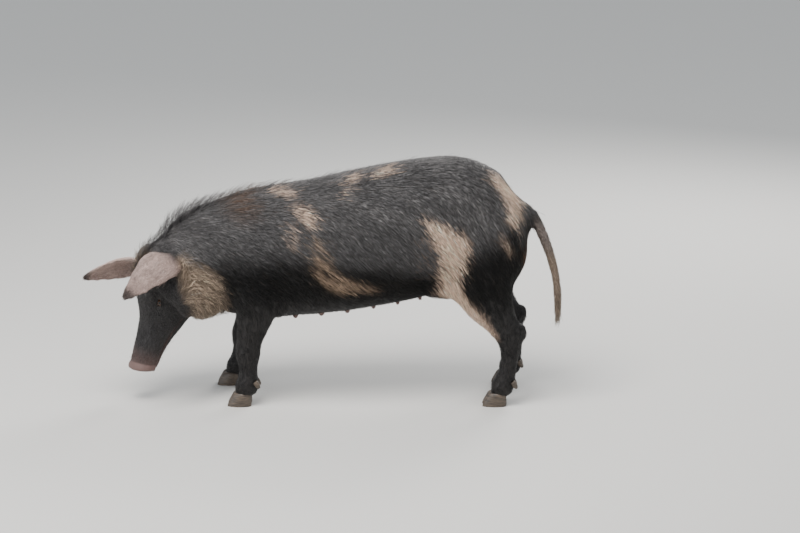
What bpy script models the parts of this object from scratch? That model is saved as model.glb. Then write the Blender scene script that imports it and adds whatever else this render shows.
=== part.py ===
# A Turopolje pig in life size, standing with its head lowered, parted where a person would name its parts.
# Metres, +Z up. The pig faces -X and its left side is towards -Y. All eight main claws stand on z = 0.

import math
import random

import bmesh
import bpy
from mathutils import Matrix, Vector
from mathutils.bvhtree import BVHTree

# Driving dimensions of the whole animal
GAP = 0.0003                # room left between touching parts
SHIFT_X = -0.0065           # brings the middle of the bounding box over the origin
SHIFT_Y = 0.0080
VOXEL = 0.0065              # grain at which the muscle masses are fused
RELAX = 10                  # rounds of smoothing after that
SPAN_STEPS = 4              # rings for each span of a body table
LEG_RING = 20               # points round a leg section
RING = 28                   # points round a trunk section
SIDES = (("left", -1), ("right", 1))

# Back and belly lines: x, height of the back, height of the belly, half width, sideways bend
TRUNK = (
    (0.570, 0.500, 0.440, 0.028, 0.0),
    (0.552, 0.543, 0.385, 0.070, 0.0),
    (0.516, 0.581, 0.345, 0.110, 0.0),
    (0.466, 0.622, 0.316, 0.142, 0.0),
    (0.400, 0.651, 0.300, 0.160, 0.0),
    (0.320, 0.659, 0.290, 0.166, 0.0),
    (0.220, 0.648, 0.268, 0.172, 0.0),
    (0.100, 0.624, 0.248, 0.174, 0.0),
    (-0.020, 0.597, 0.236, 0.168, 0.0),
    (-0.120, 0.581, 0.228, 0.158, 0.0),
    (-0.220, 0.563, 0.234, 0.147, -0.004),
    (-0.290, 0.530, 0.250, 0.136, -0.012),
)
# Neck: centre x, y, z, half width, half depth square to its own run
NECK = (
    (-0.200, 0.000, 0.402, 0.142, 0.156),
    (-0.290, -0.012, 0.384, 0.136, 0.146),
    (-0.350, -0.026, 0.350, 0.126, 0.130),
    (-0.400, -0.040, 0.322, 0.112, 0.112),
    (-0.430, -0.050, 0.295, 0.098, 0.094),
)

# Head: its poll, how far it points down and how far it turns to the pig's left
POLL = Vector((-0.478, -0.055, 0.404))
HEAD_PITCH = math.radians(78)
HEAD_YAW = math.radians(30)
HEAD_FORWARD = Vector((
    -math.cos(HEAD_PITCH) * math.cos(HEAD_YAW),
    -math.cos(HEAD_PITCH) * math.sin(HEAD_YAW),
    -math.sin(HEAD_PITCH),
))
HEAD_UP = Vector((
    -math.sin(HEAD_PITCH) * math.cos(HEAD_YAW),
    -math.sin(HEAD_PITCH) * math.sin(HEAD_YAW),
    math.cos(HEAD_PITCH),
))
HEAD_LEFT = HEAD_UP.cross(HEAD_FORWARD)
# Head sections: distance from the poll, forehead line, jaw line, half width
HEAD = (
    (-0.030, -0.022, -0.175, 0.070),
    (0.000, -0.004, -0.195, 0.084),
    (0.045, 0.002, -0.205, 0.092),
    (0.090, -0.004, -0.195, 0.086),
    (0.130, -0.018, -0.170, 0.075),
    (0.170, -0.030, -0.146, 0.062),
    (0.210, -0.033, -0.124, 0.052),
    (0.250, -0.030, -0.107, 0.045),
    (0.290, -0.026, -0.096, 0.041),
)
# Snout: its flat front disc, as rings of distance from the poll and share of the full size
SNOUT_TIP = 0.308
SNOUT_RINGS = ((0.281, 0.84), (0.295, 0.93), (0.299, 1.00), (0.305, 1.00), (SNOUT_TIP, 0.94))
SNOUT_LEAN = 0.10           # how far the disc's upper edge leads, for a height of 1
SNOUT_HALF_WIDTH = 0.0420
SNOUT_HALF_DEPTH = 0.0345
SNOUT_CENTRE = -0.057       # its place below the line of the forehead
NOSTRIL_ASIDE = 0.0165
NOSTRIL = (0.0135, 0.0066, 0.0092)      # depth, half width, half height
# Muscles of each side of the head: place forward, up and out from its middle, and radii
HEAD_MUSCLES = {
    "jowl": ((0.055, -0.135, 0.062), (0.075, 0.050, 0.068)),
    "brow": ((0.080, -0.024, 0.046), (0.036, 0.026, 0.020)),
    "cheek": ((0.128, -0.078, 0.046), (0.040, 0.022, 0.026)),
    "ear_root": ((0.014, -0.046, 0.062), (0.036, 0.026, 0.030)),
}
CHIN = ((0.240, -0.094), (0.045, 0.027, 0.018))
# Mouth line from its corner forwards: distance from the poll and height
MOUTH = ((0.158, -0.120), (0.178, -0.111), (0.205, -0.099), (0.235, -0.091), (0.262, -0.087), (0.290, -0.085))
MOUTH_FADE = 0.35           # share of its depth that the line has at the corner
MOUTH_RISE = 0.030          # distance in which it gains most of the rest
MOUTH_GROOVE = 0.0026
LIP = 0.0046
# Eyes: place on the side of the head and ball size
EYE_FORWARD = 0.116
EYE_UP = -0.044
EYE_RADIUS = 0.0118
EYE_SUNK = 0.0072           # centre of the ball below the skin
LID_LENGTH = 0.0165         # half the opening along the head
LID_HEIGHT = 0.0105
LID = 0.0034                # half the thickness of a lid
LID_STEPS = 6
LID_LOW = 0.82              # how far the lower lid bows for an upper lid of 1
LID_SLOPE = 0.10            # the eye's outer corner stands lower

# Ears: root, crown of the arch, tip, and the way from the front edge to the outer edge at root and tip
EAR = {
    "left": (
        (-0.382, -0.112, 0.418), (-0.432, -0.178, 0.402), (-0.512, -0.184, 0.306),
        (0.87, -0.44, -0.22), (0.46, -0.56, -0.69),
    ),
    "right": (
        (-0.486, 0.026, 0.370), (-0.560, -0.008, 0.366), (-0.636, -0.050, 0.338),
        (0.20, 0.82, -0.52), (-0.12, 0.72, -0.69),
    ),
}
# Ear section from root to tip: share of the length, width along its curve, bend of that curve in radians
EAR_WIDTH = (
    (0.00, 0.092, 2.9),
    (0.14, 0.104, 2.3),
    (0.32, 0.112, 1.75),
    (0.55, 0.102, 1.35),
    (0.76, 0.076, 1.15),
    (0.92, 0.040, 1.0),
    (1.00, 0.012, 0.8),
)
EAR_ACROSS = 8
EAR_ALONG = 8
EAR_WALL = 0.0052

# Legs: x, y (outwards), z, half width across, half depth along the body
FORE_LEG = (
    (-0.165, 0.070, 0.460, 0.055, 0.085),
    (-0.170, 0.092, 0.390, 0.058, 0.092),
    (-0.172, 0.104, 0.320, 0.054, 0.078),
    (-0.172, 0.108, 0.270, 0.045, 0.058),
    (-0.184, 0.107, 0.220, 0.036, 0.043),
    (-0.196, 0.105, 0.175, 0.030, 0.034),
    (-0.202, 0.104, 0.142, 0.0305, 0.0335),
    (-0.203, 0.103, 0.100, 0.0235, 0.0245),
    (-0.206, 0.103, 0.066, 0.0275, 0.0290),
    (-0.217, 0.103, 0.036, 0.0275, 0.0280),
    (-0.222, 0.103, 0.012, 0.0285, 0.0290),
)
HIND_LEG = (
    (0.425, 0.070, 0.500, 0.070, 0.115),
    (0.430, 0.092, 0.420, 0.068, 0.122),
    (0.432, 0.106, 0.345, 0.058, 0.096),
    (0.452, 0.110, 0.285, 0.044, 0.068),
    (0.486, 0.108, 0.232, 0.033, 0.045),
    (0.508, 0.105, 0.190, 0.029, 0.037),
    (0.512, 0.103, 0.145, 0.0240, 0.0270),
    (0.507, 0.103, 0.100, 0.0225, 0.0245),
    (0.499, 0.103, 0.066, 0.0270, 0.0280),
    (0.487, 0.103, 0.036, 0.0265, 0.0270),
    (0.481, 0.103, 0.012, 0.0280, 0.0285),
)
# Muscles and bone of each side: x, distance from the middle and height, and radii
BODY_MUSCLES = {
    "shoulder": ((-0.165, 0.088, 0.395), (0.105, 0.072, 0.145)),
    "ham": ((0.436, 0.085, 0.435), (0.118, 0.078, 0.135)),
    "hock": ((0.540, 0.104, 0.202), (0.018, 0.013, 0.028)),
}
# How far each foot stands ahead of (-) or behind (+) the place in the tables
STEP = {"foreleg_left": 0.012, "foreleg_right": -0.030, "hindleg_left": -0.006, "hindleg_right": 0.026}
STEP_FROM = 0.300           # the height from which a leg leans into its step
HOCK_LEAN = 0.35            # share of the step at the hock
LEG_OUT = 0.103             # the feet's distance from the middle plane
HOCK = ((0.500, 0.0, 0.178), (-0.25, 0.0, 0.97))       # the thigh is parted from the lower leg here
CORONET_HEIGHT = 0.028      # where horn begins, at the middle of the foot
CORONET_SLOPE = (-0.28, 0.0, -0.96)
# Claw outline from the sole up: height, toe, heel, half width, shift away from its fellow
CLAW = (
    (0.000, -0.043, 0.022, 0.0120, 0.0000),
    (0.008, -0.042, 0.026, 0.0132, 0.0004),
    (0.048, -0.026, 0.027, 0.0122, -0.0004),
)
CLAW_APART = 0.0142         # each claw's middle from the foot's middle
# Dewclaw: distance along it and radius, then its run, how deep it is set and where it grows
DEW_CLAW = ((0.000, 0.0095), (0.014, 0.0092), (0.031, 0.0040))
DEW_SINK = 0.009
DEW_RUN = Vector((0.62, 0.0, -0.78))
DEW_APART = 0.0165
DEW_HEIGHT = 0.066

# Tail: x, y, z, radius. It hangs from the rump and swings a little to the left
TAIL = (
    (0.535, 0.000, 0.535, 0.030),
    (0.556, -0.003, 0.522, 0.024),
    (0.578, -0.008, 0.492, 0.0165),
    (0.598, -0.020, 0.448, 0.0125),
    (0.616, -0.037, 0.395, 0.0108),
    (0.628, -0.055, 0.345, 0.0096),
    (0.634, -0.068, 0.300, 0.0084),
    (0.636, -0.073, 0.270, 0.0070),
)
TAIL_TUFT = ((0.636, -0.075, 0.250, 0.0105), (0.634, -0.077, 0.225, 0.0080), (0.632, -0.078, 0.203, 0.0025))

# Cutting planes: the neck ends at the shoulder, the head behind the jaw
SHOULDER_POINT = (-0.248, 0.0, 0.350)
SHOULDER_NORMAL = Vector((-0.96, 0.0, 0.28))
NAPE = (-0.022, 0.0)        # distance from the poll and height, where the cut leaves the nape
THROAT = (0.082, -0.210)
HEAD_BACK = -0.250
# Legs are cut off along a slanted plane: a point and the outward way, both for the right side
FORE_CUT = ((-0.190, 0.050, 0.228), (0.22, -0.42, 0.88))
HIND_CUT = ((0.440, 0.030, 0.296), (-0.34, -0.55, 0.76))
FORE_REACH = (-0.310, -0.080)
HIND_REACH = (0.300, 0.620)
LEG_INNER = 0.026

# Triangles that the whole fused body keeps before a part is cut from it
TORSO_LEVEL = 2400
NECK_LEVEL = 4200
LEG_LEVEL = 4600
HEAD_LEVEL = 7000

# Locks of bristles: share of the length, share of the width, share of the rise
LOCK_SHAPE = ((0.20, 1.00, 0.62), (0.50, 0.94, 0.95), (0.78, 0.60, 1.00))
LOCK_TIP = 0.92             # share of the rise at the tip
LOCK_SINK = 0.0055          # how deep a root is set
LOCK_RIDGE = 0.20           # ridge height for a width of 1
LOCK_CLEAR = 0.0020         # distance kept to every other part
TAIL_ROOM = 0.0040          # distance that the rump's locks keep to the tail
STRAY = 0.014               # how far a root strays from its row
TOSS = 0.14                 # how far its lie strays
# Rows of locks: where they start and end in space, which way they are cast onto the skin, how many,
# length, width, rise of the tips, the way they lie, how much they curl, and whether both sides have them
DOWN, UP, IN, AHEAD = (0, 0, -1), (0, 0, 1), (0, -1, 0), (-1, 0, 0)
TORSO_ROWS = (
    ((-0.232, 0.000, 0.75), (0.04, 0.000, 0.75), DOWN, 9, 0.070, 0.020, 0.026, (1, 0, 0.10), 0.3, False),
    ((-0.225, 0.030, 0.75), (0.02, 0.030, 0.75), DOWN, 5, 0.068, 0.022, 0.017, (1, 0, -0.05), 0.4, True),
    ((0.060, 0.000, 0.75), (0.49, 0.000, 0.75), DOWN, 9, 0.076, 0.024, 0.014, (1, 0, 0), 0.3, False),
    ((-0.190, 0.40, 0.560), (0.47, 0.40, 0.620), IN, 7, 0.125, 0.032, 0.007, (1, 0, -0.26), 0.3, True),
    ((-0.150, 0.40, 0.500), (0.51, 0.40, 0.560), IN, 7, 0.128, 0.033, 0.007, (1, 0, -0.32), 0.3, True),
    ((-0.200, 0.40, 0.435), (0.46, 0.40, 0.495), IN, 7, 0.128, 0.033, 0.007, (1, 0, -0.36), 0.3, True),
    ((-0.080, 0.40, 0.375), (0.50, 0.40, 0.430), IN, 6, 0.124, 0.033, 0.008, (1, 0, -0.42), 0.3, True),
    ((-0.060, 0.40, 0.315), (0.30, 0.40, 0.350), IN, 4, 0.105, 0.030, 0.010, (1, 0, -0.45), 0.3, True),
    ((-0.050, 0.070, 0.05), (0.30, 0.070, 0.05), UP, 4, 0.072, 0.024, 0.014, (1, 0.1, -0.2), 0.4, True),
    ((0.75, 0.060, 0.50), (0.75, 0.085, 0.40), AHEAD, 3, 0.074, 0.024, 0.010, (0.1, 0, -1), 0.2, True),
)
NECK_ROWS = (
    ((-0.458, -0.045, 0.75), (-0.262, -0.005, 0.75), DOWN, 10, 0.066, 0.018, 0.034, (1, 0, 0.35), 0.3, False),
    ((-0.440, -0.015, 0.75), (-0.270, 0.020, 0.75), DOWN, 6, 0.060, 0.020, 0.022, (1, 0, 0.15), 0.3, False),
    ((-0.440, -0.072, 0.75), (-0.270, -0.036, 0.75), DOWN, 6, 0.060, 0.020, 0.022, (1, 0, 0.15), 0.3, False),
    ((-0.390, 0.40, 0.450), (-0.290, 0.40, 0.505), IN, 2, 0.092, 0.030, 0.008, (1, 0, -0.3), 0.3, True),
    ((-0.380, 0.40, 0.395), (-0.290, 0.40, 0.440), IN, 3, 0.078, 0.026, 0.010, (1, 0, -0.5), 0.6, True),
    ((-0.355, 0.40, 0.335), (-0.275, 0.40, 0.385), IN, 3, 0.070, 0.024, 0.014, (1, 0, -0.8), 1.1, True),
    ((-0.345, 0.35, 0.285), (-0.280, 0.35, 0.320), IN, 2, 0.062, 0.022, 0.014, (1, 0, -0.9), 1.1, True),
)
# Rows on the head are in its own frame: distance from the poll, left, height
HEAD_ROWS = (
    ((0.006, -0.034, 0.3), (0.006, 0.034, 0.3), DOWN, 5, 0.060, 0.016, 0.028, (-0.5, 0, 0.9), 0.4, False),
    ((0.036, -0.026, 0.3), (0.036, 0.026, 0.3), DOWN, 4, 0.074, 0.019, 0.013, (0.9, 0, 0.3), 0.5, False),
    ((0.030, 0.30, -0.115), (0.115, 0.30, -0.095), IN, 3, 0.066, 0.024, 0.012, (-0.2, 0, -1), 0.9, True),
    ((0.045, 0.30, -0.150), (0.140, 0.30, -0.125), IN, 4, 0.060, 0.022, 0.014, (-0.1, 0, -1), -0.9, True),
    ((0.080, 0.030, -0.5), (0.150, 0.026, -0.5), UP, 2, 0.052, 0.020, 0.014, (0.1, 0, -1), 0.6, True),
)
FORE_ROWS = (
    ((0.10, 0.112, 0.250), (0.10, 0.108, 0.205), AHEAD, 2, 0.054, 0.020, 0.010, (0.3, 0, -1), 0.3, False),
)
HIND_ROWS = (
    ((0.80, 0.085, 0.350), (0.80, 0.105, 0.270), AHEAD, 4, 0.062, 0.022, 0.010, (0.1, 0, -1), 0.3, False),
    ((0.400, 0.40, 0.330), (0.500, 0.40, 0.290), IN, 3, 0.090, 0.028, 0.007, (0.25, 0, -1), 0.2, False),
)
TAIL_LOCKS = 7
TAIL_LOCK = (0.075, 0.012, 0.006)       # length, width, rise

COATS = {
    "torso": (0.050, 0.048, 0.047),
    "neck": (0.062, 0.054, 0.048),
    "head": (0.110, 0.085, 0.070),
    "ear": (0.330, 0.235, 0.205),
    "tail": (0.190, 0.150, 0.130),
    "leg": (0.060, 0.052, 0.046),
    "claw": (0.085, 0.070, 0.058),
    "eye": (0.030, 0.018, 0.012),
}
ROUGHNESS = {"claw": 0.45, "eye": 0.08}
COAT_ROUGHNESS = 0.75


def clear_scene():
    for old in list(bpy.data.objects):
        bpy.data.objects.remove(old)


def new_object(name, bm):
    mesh = bpy.data.meshes.new(name)
    bm.to_mesh(mesh)
    bm.free()
    obj = bpy.data.objects.new(name, mesh)
    bpy.context.scene.collection.objects.link(obj)
    return obj


def between(a, b, c, d, t):
    # Catmull-Rom value between b and c
    return tuple(
        0.5 * ((2 * q) + (r - p) * t + (2 * p - 5 * q + 4 * r - s) * t * t
               + (3 * q - p - 3 * r + s) * t * t * t)
        for p, q, r, s in zip(a, b, c, d)
    )


def smooth_rows(rows, steps):
    # The rows with `steps` rows for each span, on a smooth curve through them
    out = []
    last = len(rows) - 1
    for i in range(last):
        a, b = rows[max(i - 1, 0)], rows[i]
        c, d = rows[i + 1], rows[min(i + 2, last)]
        out += [between(a, b, c, d, k / steps) for k in range(steps)]
    return out + [rows[last]]


def closed_over(name, rings):
    # A closed skin over rings of points, each ring with the same count
    bm = bmesh.new()
    loops = [[bm.verts.new(point) for point in ring] for ring in rings]
    count = len(loops[0])
    for loop, following in zip(loops, loops[1:]):
        for k in range(count):
            n = (k + 1) % count
            bm.faces.new((loop[k], loop[n], following[n], following[k]))
    bm.faces.new(loops[0])
    bm.faces.new(loops[-1])
    bmesh.ops.recalc_face_normals(bm, faces=bm.faces)
    return new_object(name, bm)


def loft(name, rows, sideways, points=RING, fullness=0.92, upright=False):
    # Oval rings along a run. Each row is x, y, z, half width, half depth, and `sideways` is the width's way
    centres = [Vector(row[:3]) for row in rows]
    rings = []
    for i, row in enumerate(rows):
        run = centres[min(i + 1, len(rows) - 1)] - centres[max(i - 1, 0)]
        if upright:
            run.z = run.y = 0.0
        run.normalize()
        across = (sideways - run * run.dot(sideways)).normalized()
        deep = run.cross(across)
        ring = []
        for k in range(points):
            angle = 2 * math.pi * k / points
            c, s = math.cos(angle), math.sin(angle)
            c = math.copysign(abs(c) ** fullness, c)
            s = math.copysign(abs(s) ** fullness, s)
            ring.append(centres[i] + across * row[3] * c + deep * row[4] * s)
        rings.append(ring)
    return closed_over(name, rings)


def ellipsoid(name, centre, radii, turn=None, segments=24):
    bm = bmesh.new()
    bmesh.ops.create_uvsphere(bm, u_segments=segments, v_segments=segments // 2, radius=1.0)
    frame = (turn or Matrix.Identity(3)).to_4x4()
    bm.transform(Matrix.Translation(centre) @ frame @ Matrix.Diagonal((*radii, 1.0)))
    return new_object(name, bm)


def head_point(forward, up, left=0.0):
    return POLL + HEAD_FORWARD * forward + HEAD_UP * up + HEAD_LEFT * left


def head_turn():
    # Columns: forward, left, up
    return Matrix((HEAD_FORWARD, HEAD_LEFT, HEAD_UP)).transposed()


def apply_modifiers(obj):
    graph = bpy.context.evaluated_depsgraph_get()
    mesh = bpy.data.meshes.new_from_object(obj.evaluated_get(graph))
    obj.modifiers.clear()
    obj.data = mesh
    return obj


def joined(name, pieces):
    bm = bmesh.new()
    for piece in pieces:
        bm.from_mesh(piece.data)
        bpy.data.objects.remove(piece)
    return new_object(name, bm)


def copied(name, source):
    obj = bpy.data.objects.new(name, source.data.copy())
    bpy.context.scene.collection.objects.link(obj)
    return obj


def boolean(obj, other, operation="DIFFERENCE", solver="EXACT"):
    # Cuts by, keeps the inside of or adds a closed mesh, which is then removed
    cut = obj.modifiers.new("cut", "BOOLEAN")
    cut.operation = operation
    cut.solver = solver
    cut.object = other
    apply_modifiers(obj)
    bpy.data.objects.remove(other)
    return obj


def keep_largest(obj):
    # Drops loose scraps and sealed hollows: only the closed surface with the most area stays
    bm = bmesh.new()
    bm.from_mesh(obj.data)
    left = set(bm.faces)
    shells = []
    while left:
        stack = [left.pop()]
        shell = []
        while stack:
            face = stack.pop()
            shell.append(face)
            for edge in face.edges:
                for other in edge.link_faces:
                    if other in left:
                        left.discard(other)
                        stack.append(other)
        shells.append(shell)
    shells.sort(key=lambda shell: sum(face.calc_area() for face in shell))
    scraps = [face for shell in shells[:-1] for face in shell]
    bmesh.ops.delete(bm, geom=scraps, context="FACES")
    bm.to_mesh(obj.data)
    bm.free()
    return obj


def swollen(source, distance):
    # A copy pushed outwards, which cuts a neighbour clear
    bm = bmesh.new()
    bm.from_mesh(source.data)
    bm.normal_update()
    for vert, push in [(vert, vert.normal.copy()) for vert in bm.verts]:
        vert.co += push * distance
    return new_object("swollen", bm)


def seat(piece, onto):
    # Cuts a piece that is sunk in another so that it only meets that one's surface
    boolean(piece, swollen(onto, GAP))
    return keep_largest(piece)


def coarse(name, source, level):
    obj = copied(name, source)
    thin = obj.modifiers.new("thin", "DECIMATE")
    thin.ratio = level / (2 * len(source.data.polygons))
    return apply_modifiers(obj)


def cell(planes, grow=0.0):
    # A closed block: the space behind every plane, each a point and its outward way
    bm = bmesh.new()
    bmesh.ops.create_cube(bm, size=2.0)
    for point, way in planes:
        outward = Vector(way).normalized()
        everything = bm.verts[:] + bm.edges[:] + bm.faces[:]
        bmesh.ops.bisect_plane(
            bm, geom=everything, dist=1e-7, plane_co=Vector(point) + outward * grow,
            plane_no=outward, clear_outer=True,
        )
        rim = [edge for edge in bm.edges if edge.is_boundary]
        bmesh.ops.holes_fill(bm, edges=rim, sides=0)
    bmesh.ops.recalc_face_normals(bm, faces=bm.faces)
    return new_object("cell", bm)


def front_planes():
    return [(SHOULDER_POINT, -SHOULDER_NORMAL)]


def head_planes():
    line = Vector((THROAT[0] - NAPE[0], THROAT[1] - NAPE[1])).normalized()
    behind = HEAD_FORWARD * line.y - HEAD_UP * line.x
    return front_planes() + [(head_point(*NAPE), behind), (head_point(0.0, HEAD_BACK), -HEAD_UP)]


def leg_planes(fore, side):
    point, way = FORE_CUT if fore else HIND_CUT
    first, last = FORE_REACH if fore else HIND_REACH
    return [
        ((point[0], side * point[1], point[2]), (way[0], side * way[1], way[2])),
        ((first, 0, 0), (-1, 0, 0)),
        ((last, 0, 0), (1, 0, 0)),
        ((0, side * LEG_INNER, 0), (0, -side, 0)),
    ]


def foot_x(name):
    rows = FORE_LEG if name.startswith("fore") else HIND_LEG
    return rows[-1][0] + STEP[name]


def coronet_plane(name):
    # The claws' side of the cut between hair and horn; its outward way points up into the leg
    return [((foot_x(name), 0.0, CORONET_HEIGHT), -Vector(CORONET_SLOPE))]


def trunk_mass():
    rows = [(x, bend, (top + bottom) / 2, half, (top - bottom) / 2) for x, top, bottom, half, bend in TRUNK]
    return loft("trunk", smooth_rows(rows, SPAN_STEPS), Vector((0, 1, 0)), fullness=0.88, upright=True)


def neck_mass():
    return loft("neck", smooth_rows(NECK, SPAN_STEPS), Vector((0, 1, 0)), fullness=0.9)


def head_mass():
    rows = []
    for forward, up, down, half in HEAD:
        centre = head_point(forward, (up + down) / 2)
        rows.append((*centre, half, (up - down) / 2))
    return loft("head", smooth_rows(rows, SPAN_STEPS), HEAD_LEFT, fullness=0.86)


def leg_mass(name, rows, side):
    placed = []
    for x, y, z, across, along in rows:
        lean = STEP[name] * min(1.0, max(0.0, STEP_FROM - z) / (STEP_FROM - rows[-1][2]))
        placed.append((x + lean, side * y, z, across, along))
    return loft(name, smooth_rows(placed, SPAN_STEPS), Vector((0, 1, 0)), points=LEG_RING, fullness=0.95)


def body_masses():
    pieces = [trunk_mass(), neck_mass(), head_mass()]
    for word, side in SIDES:
        pieces.append(leg_mass("foreleg_" + word, FORE_LEG, side))
        pieces.append(leg_mass("hindleg_" + word, HIND_LEG, side))
        for name, ((forward, up, out), radii) in HEAD_MUSCLES.items():
            pieces.append(ellipsoid(name, head_point(forward, up, -side * out), radii, head_turn()))
        for name, ((x, out, z), radii) in BODY_MUSCLES.items():
            lean = STEP["hindleg_" + word] * HOCK_LEAN if name == "hock" else 0.0
            pieces.append(ellipsoid(name, (x + lean, side * out, z), radii))
    pieces.append(ellipsoid("chin", head_point(*CHIN[0]), CHIN[1], head_turn()))
    return pieces


def fused_body():
    body = joined("body", body_masses())
    remesh = body.modifiers.new("fuse", "REMESH")
    remesh.mode = "VOXEL"
    remesh.voxel_size = VOXEL
    relax = body.modifiers.new("relax", "SMOOTH")
    relax.factor = 0.5
    relax.iterations = RELAX
    return apply_modifiers(body)


def tree_of(obj):
    bm = bmesh.new()
    bm.from_mesh(obj.data)
    tree = BVHTree.FromBMesh(bm)
    bm.free()
    return tree


def cheek_point(tree, forward, up, side):
    # The skin on the side of the head, and the way out of it
    aside = HEAD_LEFT * -side
    spot, normal, _, _ = tree.ray_cast(head_point(forward, up) + aside * 0.2, -aside)
    return spot, normal


def snout_disc():
    rings = []
    for forward, scale in SNOUT_RINGS:
        ring = []
        for k in range(16):
            angle = 2 * math.pi * k / 16
            wide = SNOUT_HALF_WIDTH * scale * math.cos(angle)
            deep = SNOUT_HALF_DEPTH * scale * math.sin(angle)
            ring.append(head_point(forward + SNOUT_LEAN * deep, SNOUT_CENTRE + deep, wide))
        rings.append(ring)
    return closed_over("disc", rings)


def eye_ball(name, tree, side, radius):
    spot, normal = cheek_point(tree, EYE_FORWARD, EYE_UP, side)
    centre = spot - normal * EYE_SUNK
    return ellipsoid(name, centre, (radius, radius, radius), head_turn(), segments=10)


def lid(tree, side, upper):
    # A roll of skin along half of the almond opening, thinner at its two corners
    rows = []
    for k in range(LID_STEPS + 1):
        angle = math.pi * k / LID_STEPS
        bow_out = math.sin(angle)
        forward = EYE_FORWARD + LID_LENGTH * math.cos(angle)
        rise = LID_HEIGHT * bow_out * (1.0 if upper else -LID_LOW)
        up = EYE_UP + rise - LID_SLOPE * (forward - EYE_FORWARD)
        spot, normal = cheek_point(tree, forward, up, side)
        thick = LID * (0.55 + 0.45 * bow_out) * (1.1 if upper else 0.9)
        rows.append((*(spot + normal * LID * 0.35 * bow_out), thick, thick))
    return loft("lid", rows, HEAD_LEFT, points=6, fullness=1.0)


def mouth_tube(tree, side, radius, drop, out):
    rows = []
    for forward, up in MOUTH:
        spot, normal = cheek_point(tree, forward, up + drop, side)
        fade = min(1.0, MOUTH_FADE + (forward - MOUTH[0][0]) / MOUTH_RISE)
        rows.append((*(spot + normal * out), radius * fade, radius * fade))
    return loft("mouth", rows, HEAD_LEFT, points=5, fullness=1.0)


def head_part(body):
    head = coarse("head", body, HEAD_LEVEL)
    boolean(head, cell(head_planes()), "INTERSECT")
    keep_largest(head)
    boolean(head, snout_disc(), "UNION", "MANIFOLD")
    tree = tree_of(head)
    eyes = []
    for word, side in SIDES:
        # the upper lip's roll above the mouth line, then the line itself
        boolean(head, mouth_tube(tree, side, LIP, LIP * 1.15, -LIP * 0.62), "UNION", "MANIFOLD")
        boolean(head, mouth_tube(tree, side, MOUTH_GROOVE, 0.0, 0.0), solver="MANIFOLD")
        boolean(head, lid(tree, side, True), "UNION", "MANIFOLD")
        boolean(head, lid(tree, side, False), "UNION", "MANIFOLD")
        boolean(head, eye_ball("socket", tree, side, EYE_RADIUS + GAP), solver="MANIFOLD")
        eyes.append(eye_ball("eye_" + word, tree, side, EYE_RADIUS))
        nostril = head_point(SNOUT_TIP, SNOUT_CENTRE - 0.001, -side * NOSTRIL_ASIDE)
        bore = ellipsoid("nostril", nostril, NOSTRIL, head_turn(), segments=12)
        boolean(head, bore, solver="MANIFOLD")
    return keep_largest(head), eyes


def bow(root, crown, tip, share):
    # A point on the arch from root to tip that passes by the crown
    through = crown * 2 - (root + tip) * 0.5
    return root * (1 - share) ** 2 + through * 2 * share * (1 - share) + tip * share ** 2


def table_value(table, share):
    for low, high in zip(table, table[1:]):
        if share <= high[0]:
            t = (share - low[0]) / (high[0] - low[0])
            t = t * t * (3 - 2 * t)
            return [a + (b - a) * t for a, b in zip(low[1:], high[1:])]
    return list(table[-1][1:])


def ear_part(word):
    # A thick-rimmed leaf, rolled into a funnel at its root and opening towards the tip
    root, crown, tip, root_edge, tip_edge = (Vector(value) for value in EAR[word])
    handed = 1 if word == "left" else -1
    outer, inner = [], []
    for j in range(EAR_ALONG + 1):
        share = j / EAR_ALONG
        width, bend = table_value(EAR_WIDTH, share)
        ahead = bow(root, crown, tip, min(1.0, share + 0.01)) - bow(root, crown, tip, max(0.0, share - 0.01))
        ahead.normalize()
        edge = root_edge.lerp(tip_edge, min(1.0, share * 2))
        across = (edge - ahead * ahead.dot(edge)).normalized()
        top = ahead.cross(across) * handed
        radius = width / bend
        for i in range(EAR_ACROSS + 1):
            u = 2 * i / EAR_ACROSS - 1
            angle = u * bend / 2
            place = bow(root, crown, tip, share) + across * radius * math.sin(angle)
            out = top * math.cos(angle) + across * math.sin(angle)
            place += top * radius * (math.cos(angle) - 1)
            # the rim is thicker than the leaf, and the whole ear thins towards its tip
            half = EAR_WALL / 2 * (1.15 - 0.45 * share) * (0.85 + 0.35 * abs(u) ** 3)
            outer.append(place + out * half)
            inner.append(place - out * half)
    bm = bmesh.new()
    front = [bm.verts.new(point) for point in outer]
    back = [bm.verts.new(point) for point in inner]
    row = EAR_ACROSS + 1

    def corner(sheet, i, j):
        return sheet[j * row + i]

    for sheet in (front, back):
        for j in range(EAR_ALONG):
            for i in range(EAR_ACROSS):
                a, b = corner(sheet, i, j), corner(sheet, i + 1, j)
                c, d = corner(sheet, i + 1, j + 1), corner(sheet, i, j + 1)
                bm.faces.new((a, b, c))
                bm.faces.new((a, c, d))
    rim = [(i, 0) for i in range(EAR_ACROSS)] + [(EAR_ACROSS, j) for j in range(EAR_ALONG)]
    rim += [(i, EAR_ALONG) for i in range(EAR_ACROSS, 0, -1)] + [(0, j) for j in range(EAR_ALONG, 0, -1)]
    for (i, j), (m, n) in zip(rim, rim[1:] + rim[:1]):
        bm.faces.new((corner(front, i, j), corner(front, m, n), corner(back, m, n)))
        bm.faces.new((corner(front, i, j), corner(back, m, n), corner(back, i, j)))
    bmesh.ops.recalc_face_normals(bm, faces=bm.faces)
    return new_object("ear_" + word, bm)


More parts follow.
